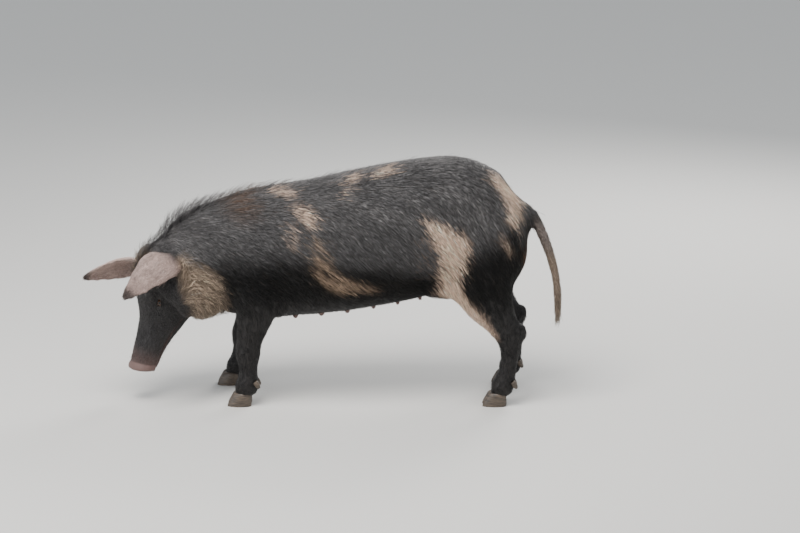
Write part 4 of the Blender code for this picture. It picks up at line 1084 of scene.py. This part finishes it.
def blades(name, paths, sides, tops, widths, colours, uvs, thick=0.36):
    # closed three-sided blades along the paths, from a row of places root to tip
    rings, count = len(paths) - 1, len(widths)
    per = rings * 3 + 1
    verts = np.empty((count, per, 3))
    # shade is painted shade and light along each blade: darker at the root, deep in the coat, and lighter towards the
    # tip
    shade = np.empty((count, per))
    for k in range(rings):
        t = k / rings
        half = widths * 0.5 * (0.75 + 0.9 * t - 1.25 * t * t)
        verts[:, k * 3] = paths[k] + sides[k] * half[:, None]
        verts[:, k * 3 + 1] = paths[k] + tops[k] * (half * 2 * thick)[:, None]
        verts[:, k * 3 + 2] = paths[k] - sides[k] * half[:, None]
        shade[:, k * 3:k * 3 + 3] = 0.72 + 0.36 * t
    verts[:, -1] = paths[-1]
    shade[:, -1] = 1.18
    faces = [(0, 1, 2)]
    for k in range(rings - 1):
        for j in range(3):
            a, b = k * 3 + j, k * 3 + (j + 1) % 3
            faces.append((a, a + 3, b + 3, b))
    for j in range(3):
        faces.append(((rings - 1) * 3 + j, per - 1, (rings - 1) * 3 + (j + 1) % 3))
    flat = np.array([i for face in faces for i in face])
    starts = np.cumsum([0] + [len(face) for face in faces[:-1]])
    base = np.arange(count)
    loopVerts = (base[:, None] * per + flat[None, :]).ravel()
    loopStarts = (base[:, None] * len(flat) + starts[None, :]).ravel()
    mesh = bpy.data.meshes.new(name)
    mesh.vertices.add(count * per)
    mesh.loops.add(len(loopVerts))
    mesh.polygons.add(len(loopStarts))
    mesh.vertices.foreach_set("co", verts.ravel())
    mesh.loops.foreach_set("vertex_index", loopVerts.astype(np.int32))
    mesh.polygons.foreach_set("loop_start", loopStarts.astype(np.int32))
    mesh.update(calc_edges=True)
    tint = mesh.attributes.new("coatColour", "FLOAT_COLOR", "POINT")
    values = np.ones((count, per, 4))
    values[:, :, :3] = np.clip(colours[:, None, :] * shade[:, :, None], 0, 1)
    tint.data.foreach_set("color", values.ravel())
    layer = mesh.uv_layers.new(name="OFBake")
    patch = np.array([(0.0024 * (k // 3) / rings, 0.0012 * (k % 3)) for k in range(per - 1)] + [(0.0030, 0.0012)])
    spot = uvs[:, None, :] + patch[None, :, :]
    layer.uv.foreach_set("vector", spot.reshape(-1, 2)[loopVerts].ravel())
    mesh.shade_smooth()
    obj = bpy.data.objects.new(name, mesh)
    bpy.context.scene.collection.objects.link(obj)
    return obj


def pathsOver(roots, out, way, length, lift, rings, follow):
    # rows of places from root to tip that lie along the skin
    sunk = np.minimum(coat["sag"], length * 0.12)
    paths, sides, tops = [roots - out * sunk[:, None]], [np.cross(way, out)], [out]
    spot, normal, ahead = roots.copy(), out.copy(), way.copy()
    for k in range(1, rings + 1):
        t = k / rings
        spot = spot + ahead * (length / rings)[:, None]
        if follow:
            for i, place in enumerate(spot):
                near, face, _, _ = skinTree.find_nearest(place, 0.05)
                if near is not None:
                    spot[i], normal[i] = near, face
            ahead = unit(ahead - normal * np.sum(ahead * normal, axis=1)[:, None])
        rise = lift * length * t ** 0.8 + 0.0006
        paths.append(spot + normal * rise[:, None])
        sides.append(unit(np.cross(ahead, normal)))
        tops.append(normal.copy())
    return np.array(paths), np.array(sides), np.array(tops)


def clumped(paths, roots, draw, share, pull, jitter):
    # tips of neighbours draw together into locks
    count = len(roots)
    centres = np.nonzero(draw.random(count) < share)[0]
    tree = KDTree(len(centres))
    for i, k in enumerate(centres):
        tree.insert(roots[k], i)
    tree.balance()
    owner = np.array([centres[tree.find(place)[1]] for place in roots])
    close = ramp(0.022, 0.010, np.linalg.norm(roots - roots[owner], axis=1))
    strength = pull * close * draw.uniform(0.6, 1.0, count)
    rows = len(paths) - 1
    for k in range(1, rows + 1):
        t = k / rows
        paths[k] += (paths[k][owner] - paths[k]) * (strength * t ** 1.5)[:, None]
        paths[k] += draw.normal(size=(count, 3)) * (jitter * t)[:, None]
    return paths


skinTree = treeOf(skin)
draw = np.random.default_rng(pig["seed"])


unwrapped = skin.data.uv_layers.get("OFBake") or skin.data.uv_layers.new(name="OFBake")
skin.data.uv_layers.active = unwrapped
bpy.context.view_layer.objects.active = skin
skin.select_set(True)
bpy.ops.object.mode_set(mode="EDIT")
bpy.ops.mesh.select_all(action="SELECT")
bpy.ops.uv.smart_project(angle_limit=math.radians(66), island_margin=0.001)
bpy.ops.object.mode_set(mode="OBJECT")
skin.select_set(False)
print("skin unwrapped")

places, out = points(skin.data), normals(skin.data)
share = partShares(places)
hairTone, underTone = coatTones(places, out, share)
for name, tone in (("coatColour", underTone), ("hairColour", hairTone)):
    layer = skin.data.attributes.new(name, "FLOAT_COLOR", "POINT")
    layer.data.foreach_set("color", np.hstack([tone, np.ones((len(tone), 1))]).ravel())
layer = skin.data.attributes.new("strand", "FLOAT_VECTOR", "POINT")
layer.data.foreach_set("vector", strandWays(places, out, share).ravel())
bare = ramp(0.2900, 0.2935, share["f"]) * (places[:, 0] < -0.40)
for centre, outward, ahead, brow in eyeFrames.values():
    off = places - np.array(centre)
    a, b = off @ np.array(ahead), off @ np.array(brow)
    b = b + eye["slope"] * a
    half = np.where(b > 0, eye["upperLid"], eye["lowerLid"])
    q = np.sqrt((np.abs(a) / eye["halfLength"]) ** 1.7 + (np.abs(b) / half) ** 2)
    bare = np.maximum(bare, ramp(1.5, 1.15, q) * (np.linalg.norm(off, axis=1) < 0.03))
bare = np.maximum(bare, ramp(0.040, 0.030, places[:, 2]))
bare = np.maximum(bare, teatShare(places))
lips = lineDistance(np.stack([share["f"], share["u"]], axis=1), mouth["line"])[0]
bare = np.maximum(bare, ramp(0.007, 0.004, lips) * share["head"] * (share["f"] > 0.14))
layer = skin.data.attributes.new("bare", "FLOAT", "POINT")
layer.data.foreach_set("value", bare)

verts, loops = corners(skin.data)
uvs = np.empty(len(skin.data.loops) * 2)
skin.data.uv_layers["OFBake"].uv.foreach_get("vector", uvs)
uvs = uvs.reshape(-1, 2)
triangle = places[verts]
cross = np.cross(triangle[:, 1] - triangle[:, 0], triangle[:, 2] - triangle[:, 0])
area = np.linalg.norm(cross, axis=1) / 2
middle, facing = triangle.mean(axis=1), unit(cross)
share, way, length, width, lift, density = coatFields(middle, facing)
pieces = []


def sampled(perArea):
    # places spread over the skin by the number wanted per square metre
    picked = np.repeat(np.arange(len(area)), draw.poisson(area * perArea))
    s, t = draw.random(len(picked)), draw.random(len(picked))
    s, t = np.where(s + t > 1, 1 - s, s), np.where(s + t > 1, 1 - t, t)
    weights = np.stack([1 - s - t, s, t], axis=1)
    found = {name: values[picked] for name, values in share.items()}
    found["roots"] = np.einsum("ij,ijk->ik", weights, triangle[picked])
    found["uv"] = np.einsum("ij,ijk->ik", weights, uvs[loops[picked]])
    found["out"] = unit(np.einsum("ij,ijk->ik", weights, out[verts[picked]]))
    found["way"], found["length"], found["width"], found["lift"] = way[picked], length[picked], width[picked], lift[picked]
    return found


def varied(found, spread, tall):
    # each blade a little different, in the colour of its own place
    count = len(found["roots"])
    turned = found["way"] + draw.normal(size=(count, 3)) * spread
    found["way"] = unit(turned - found["out"] * np.sum(turned * found["out"], axis=1)[:, None])
    found["length"] = found["length"] * draw.uniform(*tall, count)
    found["width"] = found["width"] * draw.uniform(0.75, 1.2, count)
    found["lift"] = np.clip(found["lift"] + draw.uniform(-0.03, 0.06, count), 0.02, 0.9)
    # a hair shows at its middle, so that is where its colour is looked up, with some straying
    moved = found["way"] * (found["length"] * (draw.normal(size=count) * 0.38 + 0.45))[:, None]
    moved = moved + draw.normal(size=(count, 3)) * 0.0022
    tone, _ = coatTones(found["roots"], found["out"], found, moved)
    tone = tone * np.exp(draw.normal(size=count) * 0.26)[:, None]
    warm = draw.random(count) < 0.05
    tone = np.where(warm[:, None], tone * 1.5 + (0.020, 0.015, 0.011), tone)
    found["tone"] = np.clip(tone, 0.004, 1)
    return found


def chosenOf(found, mask):
    return {name: values[mask] for name, values in found.items()}


def fleece(name, found, rings, follow, pull, jitter, slotName, groupShare=0.10, curl=0.0):
    # blades on the given roots, in pieces of neighbours
    order = np.argsort(found["roots"][:, 0], kind="stable")
    found = chosenOf(found, order)
    roots, tall = found["roots"], found["length"]
    paths, sides, tops = pathsOver(roots, found["out"], found["way"], tall, found["lift"], rings, follow)
    if pull > 0:
        paths = clumped(paths, roots, draw, groupShare, pull, tall * jitter)
    if curl > 0:
        start = draw.uniform(0, 6.28, len(roots))
        hand = np.where(draw.random(len(roots)) < 0.5, -1, 1)
        for k in range(1, rings + 1):
            turn = start + hand * k / rings * 7.5
            swing = curl * (k / rings) ** 0.7
            paths[k] += sides[k] * (np.cos(turn) * swing)[:, None] + tops[k] * ((np.sin(turn) + 1) * swing)[:, None]
    parts = max(1, math.ceil(len(roots) * (rings * 6 - 2) / coat["fleece"]))
    for i, part in enumerate(np.array_split(np.arange(len(roots)), parts)):
        obj = blades(f"{name}{i + 1}", paths[:, part], sides[:, part], tops[:, part],
                     found["width"][part], found["tone"][part], found["uv"][part])
        pieces.append((obj, slotName))
    print(name, len(roots), "blades in", parts, "pieces")


found = varied(sampled(density), 0.11, (0.70, 1.15))
onEar, onTail = found["ear"] > 0.5, found["tail"] > 0.5
onHead = (found["head"] > 0.5) & ~onEar
onLeg = (found["leg"] > 0.6) & ~onHead & ~onEar & ~onTail
fleece("coatTrunk", chosenOf(found, ~(onEar | onTail | onHead | onLeg)), 2, True, 0.24, 0.03, "coat", 0.12)
fleece("coatHead", chosenOf(found, onHead), 2, True, 0.18, 0.04, "coat", 0.15)
fleece("coatLeg", chosenOf(found, onLeg), 2, True, 0.25, 0.04, "coat", 0.12)
fleece("coatEar", chosenOf(found, onEar), 2, False, 0.20, 0.05, "ear_skin", 0.15)
fleece("coatTail", chosenOf(found, onTail), 3, False, 0.35, 0.03, "tail_coat", 0.12)

# long bristles that stand on the nape and thin out along the back
ridge = np.interp(middle[:, 0], [row[0] for row in body["trunk"]][::-1], [row[4] for row in body["trunk"]][::-1])
ridge = np.where(middle[:, 0] < -0.29, np.interp(middle[:, 0], (-0.46, -0.29), (-0.050, -0.012)), ridge)
onRidge = ramp(0.040, 0.010, np.abs(middle[:, 1] - ridge)) * ramp(0.45, 0.75, facing[:, 2])
along = np.interp(middle[:, 0], (-0.44, -0.36, -0.25, -0.06, 0.0, 0.06, 0.45), (1.0, 1.0, 0.35, 0.10, 0.28, 0.10, 0.04))
onPoll = ramp(0.030, 0.010, np.abs(share["l"])) * ramp(-0.055, -0.030, share["u"]) * ramp(0.060, 0.035, share["f"])
onPoll = onPoll * (facing @ np.array(headUp) > -0.2)
onRidge = np.where((share["f"] > -0.045) & (middle[:, 0] < -0.40), onPoll, onRidge * along)
onRidge = onRidge * (share["ear"] < 0.1)
found = sampled(85000 * onRidge)
tallest = np.interp(found["roots"][:, 0], (-0.48, -0.42, -0.30, 0.1, 0.5), (0.036, 0.054, 0.050, 0.044, 0.040))
found["length"] = tallest
found["width"] = np.full(len(tallest), 0.0011)
found["lift"] = np.interp(found["roots"][:, 0], (-0.48, -0.30, -0.10, 0.4), (0.66, 0.50, 0.28, 0.16))
found["way"] = unit(np.array((1.0, 0.0, 0.12)) + draw.normal(size=(len(tallest), 3)) * (0.18, 0.22, 0.05))
fleece("crest", varied(found, 0.12, (0.6, 1.1)), 4, False, 0.55, 0.05, "coat", 0.10)

# whiskers round the snout and on the chin, and finer ones in the ears
f, u = share["f"], share["u"]
onSnout = share["head"] * ramp(0.20, 0.23, f) * ramp(0.292, 0.284, f)
onSnout = onSnout * (0.25 + 1.0 * ramp(-0.085, -0.100, u)) * (np.abs(share["l"]) > 0.012)
found = sampled(7000 * onSnout)
found["length"] = np.full(len(found["roots"]), 0.017)
found["width"] = np.full(len(found["roots"]), 0.00042)
found["lift"] = np.full(len(found["roots"]), 0.55)
fleece("whiskers", varied(found, 0.35, (0.5, 1.3)), 3, False, 0.0, 0.0, "coat")
shaded = np.zeros(len(middle))
for word, side in pig["sides"]:
    root, crown, tip = (np.array(value) for value in ear[word][:3])
    toHead = facing @ unit(np.array(headPoint(0.05, -0.06)) - crown)
    shaded = np.maximum(shaded, (share["ear"] > 0.5) * (share["earSide"] == side) * ramp(0.1, 0.5, toHead))
shaded = shaded * ramp(0.75, 0.30, share["earAlong"])
found = sampled(26000 * shaded)
found["length"] = np.full(len(found["roots"]), 0.019)
found["width"] = np.full(len(found["roots"]), 0.0006)
found["lift"] = np.full(len(found["roots"]), 0.38)
fleece("earInner", varied(found, 0.30, (0.5, 1.2)), 3, False, 0.30, 0.05, "ear_skin", 0.12)

# curly hair of the ruff behind the cheeks
ruffs = np.zeros(len(middle))
for word, side in pig["sides"]:
    for name, _, soft, path in patches[word]:
        if name == "ruff":
            rows = np.array(path)
            dist, _, where = lineDistance(middle[:, [0, 2]], rows[:, :2])
            edge = np.interp(where, range(len(rows)), rows[:, 2])
            ruffs = np.maximum(ruffs, ramp(0.012, -0.012, dist - edge) * (side * middle[:, 1] > 0.02))
found = sampled(88000 * ruffs * (share["ear"] < 0.1))
found["length"] = np.full(len(found["roots"]), 0.034)
found["width"] = np.full(len(found["roots"]), 0.0009)
found["lift"] = np.full(len(found["roots"]), 0.15)
found = varied(found, 0.35, (0.6, 1.15))
found["tone"] = np.clip(found["tone"] * np.exp(draw.normal(size=(len(found["tone"]), 1)) * 0.35 + 0.15), 0, 1)
fleece("ruff", found, 5, True, 0.45, 0.05, "coat", 0.12, curl=0.0026)

claw = {
    # height share, toe, heel (shares of the length), half width share
    "rings": (
        (0.00, 0.00, 0.93, 0.90), (0.03, 0.00, 0.98, 0.98), (0.16, 0.012, 1.00, 1.00), (0.34, 0.055, 1.00, 0.99),
        (0.52, 0.110, 0.995, 0.97), (0.70, 0.170, 0.985, 0.95), (0.88, 0.225, 0.96, 0.88), (1.00, 0.300, 0.90, 0.66),
    ),
    "points": 28,
    "spans": 4,
    "growth": 0.00016,       # depth of the growth rings of the horn
}


def clawBody(name):
    low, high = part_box(name)
    shift = Vector(pig["place"])
    low, high = low - shift, high - shift
    size = high - low
    outward = -1 if "left" in name else 1
    side = outward if name.endswith("outer") else -outward
    bm = bmesh.new()
    rows = smoothRows([(0.0, *row) for row in claw["rings"]], claw["spans"])
    loops = []
    for k, row in enumerate(rows):
        _, rise, toe, heel, half = row
        made = bmesh.ops.create_circle(bm, segments=claw["points"], radius=1.0, cap_ends=k in (0, len(rows) - 1))
        growth = claw["growth"] * math.sin(k * 2.4) * (1 if 0 < k < len(rows) - 1 else 0)
        for vert in made["verts"]:
            c, s = vert.co.x, vert.co.y
            # the toe is drawn out, the heel round, the face between the two claws flatter
            narrow = 1 - 0.34 * max(0.0, -c) ** 1.6
            flat = 0.90 if s * side < 0 else 1.0
            along = (toe + heel) / 2 + c * (heel - toe) / 2
            x = low.x + size.x * along
            y = (low.y + high.y) / 2 + s * narrow * flat * half * size.y / 2
            bend = -0.03 * size.y * side * max(0.0, -c) ** 2
            vert.co = Vector((x + growth * c, y + bend + growth * s, low.z + size.z * max(0.0, rise)))
        verts = set(made["verts"])
        loops.append([edge for edge in {e for v in verts for e in v.link_edges} if set(edge.verts) <= verts])
    for loop, following in zip(loops, loops[1:]):
        bmesh.ops.bridge_loops(bm, edges=loop + following)
    bmesh.ops.recalc_face_normals(bm, faces=bm.faces)
    return meshObject(name.replace("claw", "horn"), bm)


def dewBody(name):
    low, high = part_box(name)
    shift = Vector(pig["place"])
    low, high = low - shift, high - shift
    top = Vector((low.x + 0.0085, (low.y + high.y) / 2, high.z - 0.0085))
    tip = Vector((high.x - 0.0045, (low.y + high.y) / 2, low.z + 0.0035))
    bm = bmesh.new()
    rows = []
    for share, radius in ((0.0, 0.0080), (0.15, 0.0088), (0.45, 0.0086), (0.70, 0.0074), (0.88, 0.0056), (1.0, 0.0034)):
        rows.append((*top.lerp(tip, share), radius, radius * 0.86))
    ringLoft(bm, smoothRows(rows, 4), (0, 1, 0), 20, 1.0)
    return meshObject(name.replace("dewclaw", "dewHorn"), bm)


horns = []
for name in sorted(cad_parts):
    if name.startswith("claw_"):
        horns.append((clawBody(name), name))
    elif name.startswith("dewclaw_"):
        horns.append((dewBody(name), name))
print("horn pieces:", len(horns))

iris = {
    "pupil": (0.0040, 0.0028),
    "edge": 0.0086,
    "brown": (0.062, 0.030, 0.015),
    "deep": (0.012, 0.007, 0.005),
    "white": (0.22, 0.155, 0.13),
}


def eyeball(word):
    centre, outward, ahead, brow = eyeFrames[word]
    bm = bmesh.new()
    bmesh.ops.create_uvsphere(bm, u_segments=72, v_segments=64, radius=eye["radius"])
    turn = Matrix((ahead, brow, outward)).transposed()
    for vert in bm.verts:
        # the cornea stands a little proud of the ball
        near = math.hypot(vert.co.x, vert.co.y)
        if vert.co.z > 0:
            vert.co.z += 0.0006 * math.exp(-(near / 0.0062) ** 4)
    obj = meshObject("eyeball_" + word, bm)
    local = points(obj.data)
    a, b, h = local.T
    r = np.hypot(a, b)
    angle = np.arctan2(b, a)
    ray = 0.5 + 0.5 * np.sin(angle * 41 + 3 * np.sin(angle * 7)) * np.sin(angle * 23 + r * 900)
    brown = np.array(iris["brown"]) * (0.65 + 0.6 * ray[:, None])
    deep = np.array(iris["deep"])
    colour = brown * ramp(1.0, 0.70, r / iris["edge"])[:, None] + deep * ramp(0.70, 1.0, r / iris["edge"])[:, None]
    white = (ramp(1.00, 1.12, r / iris["edge"]) + (h < 0))[:, None].clip(0, 1)
    veins = (0.5 + 0.5 * np.sin(angle * 17 + 6 * np.sin(r * 800)))[:, None] ** 6
    colour = colour * (1 - white) + (np.array(iris["white"]) * (1 - veins * (0.0, 0.35, 0.35))) * white
    pupil = (ramp(1.06, 0.96, np.hypot(a / iris["pupil"][0], b / iris["pupil"][1])) * (h > 0))[:, None]
    colour = colour * (1 - pupil) + np.array((0.002, 0.002, 0.003)) * pupil
    layer = obj.data.attributes.new("eyeColour", "FLOAT_COLOR", "POINT")
    layer.data.foreach_set("color", np.hstack([colour, np.ones((len(colour), 1))]).ravel())
    setPoints(obj.data, local @ np.array(turn).T + np.array(centre))
    obj.data.shade_smooth()
    return obj


balls = {word: eyeball(word) for word, _ in pig["sides"]}

# lashes along the upper lid, finer ones below
for word, side in pig["sides"]:
    centre, outward, ahead, brow = (np.array(value) for value in eyeFrames[word])
    count = 74
    a = draw.uniform(-0.92, 0.92, count) * eye["halfLength"]
    up = draw.random(count) < 0.72
    half = np.where(up, eye["upperLid"], -eye["lowerLid"])
    b = half * np.sqrt(np.maximum(1 - (np.abs(a) / eye["halfLength"]) ** 1.7, 0.02)) * draw.uniform(1.0, 1.1, count)
    top = np.sqrt(np.maximum(eye["radius"] ** 2 - a * a - b * b, 0)) + 0.0013
    base = centre + np.outer(a, ahead) + np.outer(b - eye["slope"] * a, brow) + np.outer(top, outward)
    aim = unit(outward * 0.75 + np.outer(np.sign(b) * draw.uniform(0.45, 0.8, count), brow) + np.outer(a * 25, ahead))
    aim = unit(aim + draw.normal(size=(count, 3)) * 0.12)
    reach = np.where(up, 0.0095, 0.0050) * draw.uniform(0.6, 1.2, count)
    rows = [base - aim * 0.0008]
    for k in (1, 2, 3):
        droop = np.outer(reach * 0.22 * (k / 3) ** 2, (0.0, 0.0, -1.0))
        rows.append(base + aim * (reach * k / 3)[:, None] + droop)
    sides = np.cross(aim, outward)
    sides = unit(sides)
    tops = unit(np.cross(sides, aim))
    dark = np.tile((0.016, 0.013, 0.012), (count, 1))
    nearest = [skinTree.find_nearest(place)[2] for place in base]
    uv = uvs[[skin.data.polygons[i].loop_start for i in nearest]]
    obj = blades("lashes_" + word, np.array(rows), np.array([sides] * 3), np.array([tops] * 3),
                 np.full(count, 0.00042), dark, uv)
    pieces.append((obj, "coat"))


def node(tree, kind, **values):
    made = tree.nodes.new(kind)
    for name, value in values.items():
        if hasattr(made, name):
            setattr(made, name, value)
        else:
            made.inputs[name].default_value = value
    return made


def material(name, roughness, specular=0.5):
    made = bpy.data.materials.new(name)
    made.use_nodes = True
    shader = made.node_tree.nodes["Principled BSDF"]
    shader.inputs["Roughness"].default_value = roughness
    shader.inputs["Specular IOR Level"].default_value = specular
    return made, made.node_tree, shader


def mixed(tree, factor, first, second, blend="MIX"):
    made = tree.nodes.new("ShaderNodeMix")
    made.data_type = "RGBA"
    made.blend_type = blend
    for socket, value in (("Factor", factor), ("A", first), ("B", second)):
        target = made.inputs[socket] if socket == "Factor" else \
            [entry for entry in made.inputs if entry.name == socket and entry.type == "RGBA"][0]
        if isinstance(value, (float, tuple)):
            target.default_value = value
        else:
            tree.links.new(value, target)
    return [entry for entry in made.outputs if entry.type == "RGBA"][0]


def attribute(tree, name):
    made = tree.nodes.new("ShaderNodeAttribute")
    made.attribute_name = name
    return made


def coatMaterial():
    made, tree, shader = material("coat", 0.42, 0.24)
    tree.links.new(attribute(tree, "coatColour").outputs["Color"], shader.inputs["Base Color"])
    return made


def skinMaterial():
    made, tree, shader = material("skin", 0.52, 0.28)
    place = tree.nodes.new("ShaderNodeTexCoord").outputs["Object"]
    under, hair, bare = (attribute(tree, name) for name in ("coatColour", "hairColour", "bare"))
    drawn = node(tree, "ShaderNodeMapping")
    drawn.inputs["Scale"].default_value = (55.0, 620.0, 620.0)
    tree.links.new(attribute(tree, "strand").outputs["Vector"], drawn.inputs["Vector"])
    hairs = node(tree, "ShaderNodeTexNoise", Scale=1.0, Detail=2.0)
    tree.links.new(drawn.outputs["Vector"], hairs.inputs["Vector"])
    rise = node(tree, "ShaderNodeMapRange")
    rise.inputs["From Min"].default_value = 0.40
    rise.inputs["From Max"].default_value = 0.60
    tree.links.new(hairs.outputs["Fac"], rise.inputs["Value"])
    # painted shade: where the skin stands for hair, the skin under it and the hair colour are both darkened for the
    # shade between and under the hairs
    paintedShadeUnder = mixed(tree, 1.0, under.outputs["Color"], (0.45, 0.42, 0.41, 1.0), "MULTIPLY")
    shaded = mixed(tree, 1.0, hair.outputs["Color"], (0.72, 0.70, 0.69, 1.0), "MULTIPLY")
    furred = mixed(tree, rise.outputs["Result"], paintedShadeUnder, shaded)
    colour = mixed(tree, bare.outputs["Fac"], furred, under.outputs["Color"])
    mottle = node(tree, "ShaderNodeTexNoise", Scale=38.0, Detail=5.0)
    tree.links.new(place, mottle.inputs["Vector"])
    shade = node(tree, "ShaderNodeMapRange")
    shade.inputs["To Min"].default_value = 0.72
    shade.inputs["To Max"].default_value = 1.25
    tree.links.new(mottle.outputs["Fac"], shade.inputs["Value"])
    grey = tree.nodes.new("ShaderNodeCombineColor")
    for channel in ("Red", "Green", "Blue"):
        tree.links.new(shade.outputs["Result"], grey.inputs[channel])
    colour = mixed(tree, 1.0, colour, grey.outputs["Color"], "MULTIPLY")
    tree.links.new(colour, shader.inputs["Base Color"])
    cells = node(tree, "ShaderNodeTexVoronoi", Scale=420.0)
    tree.links.new(place, cells.inputs["Vector"])
    fine = node(tree, "ShaderNodeTexNoise", Scale=700.0, Detail=3.0)
    tree.links.new(place, fine.inputs["Vector"])
    first = node(tree, "ShaderNodeBump", Strength=0.35, Distance=0.0006)
    tree.links.new(cells.outputs["Distance"], first.inputs["Height"])
    second = node(tree, "ShaderNodeBump", Strength=0.30, Distance=0.0004)
    tree.links.new(fine.outputs["Fac"], second.inputs["Height"])
    tree.links.new(first.outputs["Normal"], second.inputs["Normal"])
    third = node(tree, "ShaderNodeBump", Strength=0.8, Distance=0.0010)
    tree.links.new(hairs.outputs["Fac"], third.inputs["Height"])
    tree.links.new(second.outputs["Normal"], third.inputs["Normal"])
    tree.links.new(third.outputs["Normal"], shader.inputs["Normal"])
    return made


def hornMaterial():
    made, tree, shader = material("horn", 0.42, 0.45)
    place = tree.nodes.new("ShaderNodeTexCoord").outputs["Object"]
    stretch = node(tree, "ShaderNodeMapping")
    stretch.inputs["Scale"].default_value = (60.0, 60.0, 420.0)
    tree.links.new(place, stretch.inputs["Vector"])
    bands = node(tree, "ShaderNodeTexNoise", Scale=1.0, Detail=4.0)
    tree.links.new(stretch.outputs["Vector"], bands.inputs["Vector"])
    tones = node(tree, "ShaderNodeValToRGB")
    tones.color_ramp.elements[0].position = 0.32
    tones.color_ramp.elements[0].color = (0.030, 0.024, 0.020, 1)
    tones.color_ramp.elements[1].position = 0.72
    tones.color_ramp.elements[1].color = (0.125, 0.092, 0.066, 1)
    tree.links.new(bands.outputs["Fac"], tones.inputs["Fac"])
    tree.links.new(tones.outputs["Color"], shader.inputs["Base Color"])
    bump = node(tree, "ShaderNodeBump", Strength=0.4, Distance=0.0005)
    tree.links.new(bands.outputs["Fac"], bump.inputs["Height"])
    tree.links.new(bump.outputs["Normal"], shader.inputs["Normal"])
    return made


def eyeMaterial():
    made, tree, shader = material("eye", 0.12, 0.22)
    tree.links.new(attribute(tree, "eyeColour").outputs["Color"], shader.inputs["Base Color"])
    shader.inputs["Coat Weight"].default_value = 0.45
    shader.inputs["Coat Roughness"].default_value = 0.03
    return made


looks = {"coat": coatMaterial(), "skin": skinMaterial(), "horn": hornMaterial(), "eye": eyeMaterial()}


def finished(obj, look, replaced=()):
    # the mesh moves to the frame's own origin, and the piece is tied to the root body
    obj.data.transform(Matrix.Translation(pig["place"]))
    obj.data.materials.clear()
    obj.data.materials.append(looks[look])
    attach(obj, "root")
    if replaced:
        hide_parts(*replaced)


skinNodes = [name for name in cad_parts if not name.startswith(("claw_", "dewclaw_", "eye_"))]
finished(skin, "skin", skinNodes)
for obj, slotName in pieces:
    finished(obj, "coat")
for obj, name in horns:
    obj.data.shade_smooth()
    finished(obj, "horn", [name])
for word, obj in balls.items():
    finished(obj, "eye", ["eye_" + word])

floorMesh = bmesh.new()
bmesh.ops.create_grid(floorMesh, x_segments=1, y_segments=1, size=14.0)
floor = meshObject("floor", floorMesh)
floorLook, floorTree, floorShader = material("floor", 0.9, 0.2)
floorShader.inputs["Base Color"].default_value = (0.62, 0.61, 0.59, 1)
floor.data.materials.append(floorLook)

world = bpy.data.worlds.new("sky")
bpy.context.scene.world = world
world.use_nodes = True
world.node_tree.nodes["Background"].inputs["Color"].default_value = (0.80, 0.84, 0.88, 1)
world.node_tree.nodes["Background"].inputs["Strength"].default_value = 0.90


def lamp(name, place, aim, size, power, colour):
    light = bpy.data.lights.new(name, "AREA")
    light.shape = "DISK"
    light.size = size
    light.energy = power
    light.color = colour
    obj = bpy.data.objects.new(name, light)
    obj.location = place
    obj.rotation_euler = (Vector(place) - Vector(aim)).to_track_quat("Z", "Y").to_euler()
    bpy.context.scene.collection.objects.link(obj)


lamp("sky light", (-0.6, -1.4, 3.4), (0.0, 0.0, 0.35), 2.2, 175, (1.0, 0.97, 0.93))
lamp("fill light", (-3.0, -2.4, 1.2), (-0.2, 0.0, 0.3), 2.4, 45, (0.92, 0.96, 1.0))
lamp("back light", (1.6, 2.6, 2.2), (0.1, 0.0, 0.4), 1.6, 90, (1.0, 0.98, 0.95))

view = {"height": 13.5, "distance": 6.5, "lens": 108.3, "aim": (0.2133, 0.0, 0.358)}
cameraData = bpy.data.cameras.new("camera")
cameraData.lens = view["lens"]
cameraData.sensor_width = 36.0
camera = bpy.data.objects.new("camera", cameraData)
tilt = math.radians(view["height"])
back = Vector((0.0, -math.cos(tilt), math.sin(tilt)))
camera.location = Vector(view["aim"]) + Vector(pig["place"]) + back * view["distance"]
camera.rotation_euler = back.to_track_quat("Z", "Y").to_euler()
bpy.context.scene.collection.objects.link(camera)
bpy.context.scene.camera = camera
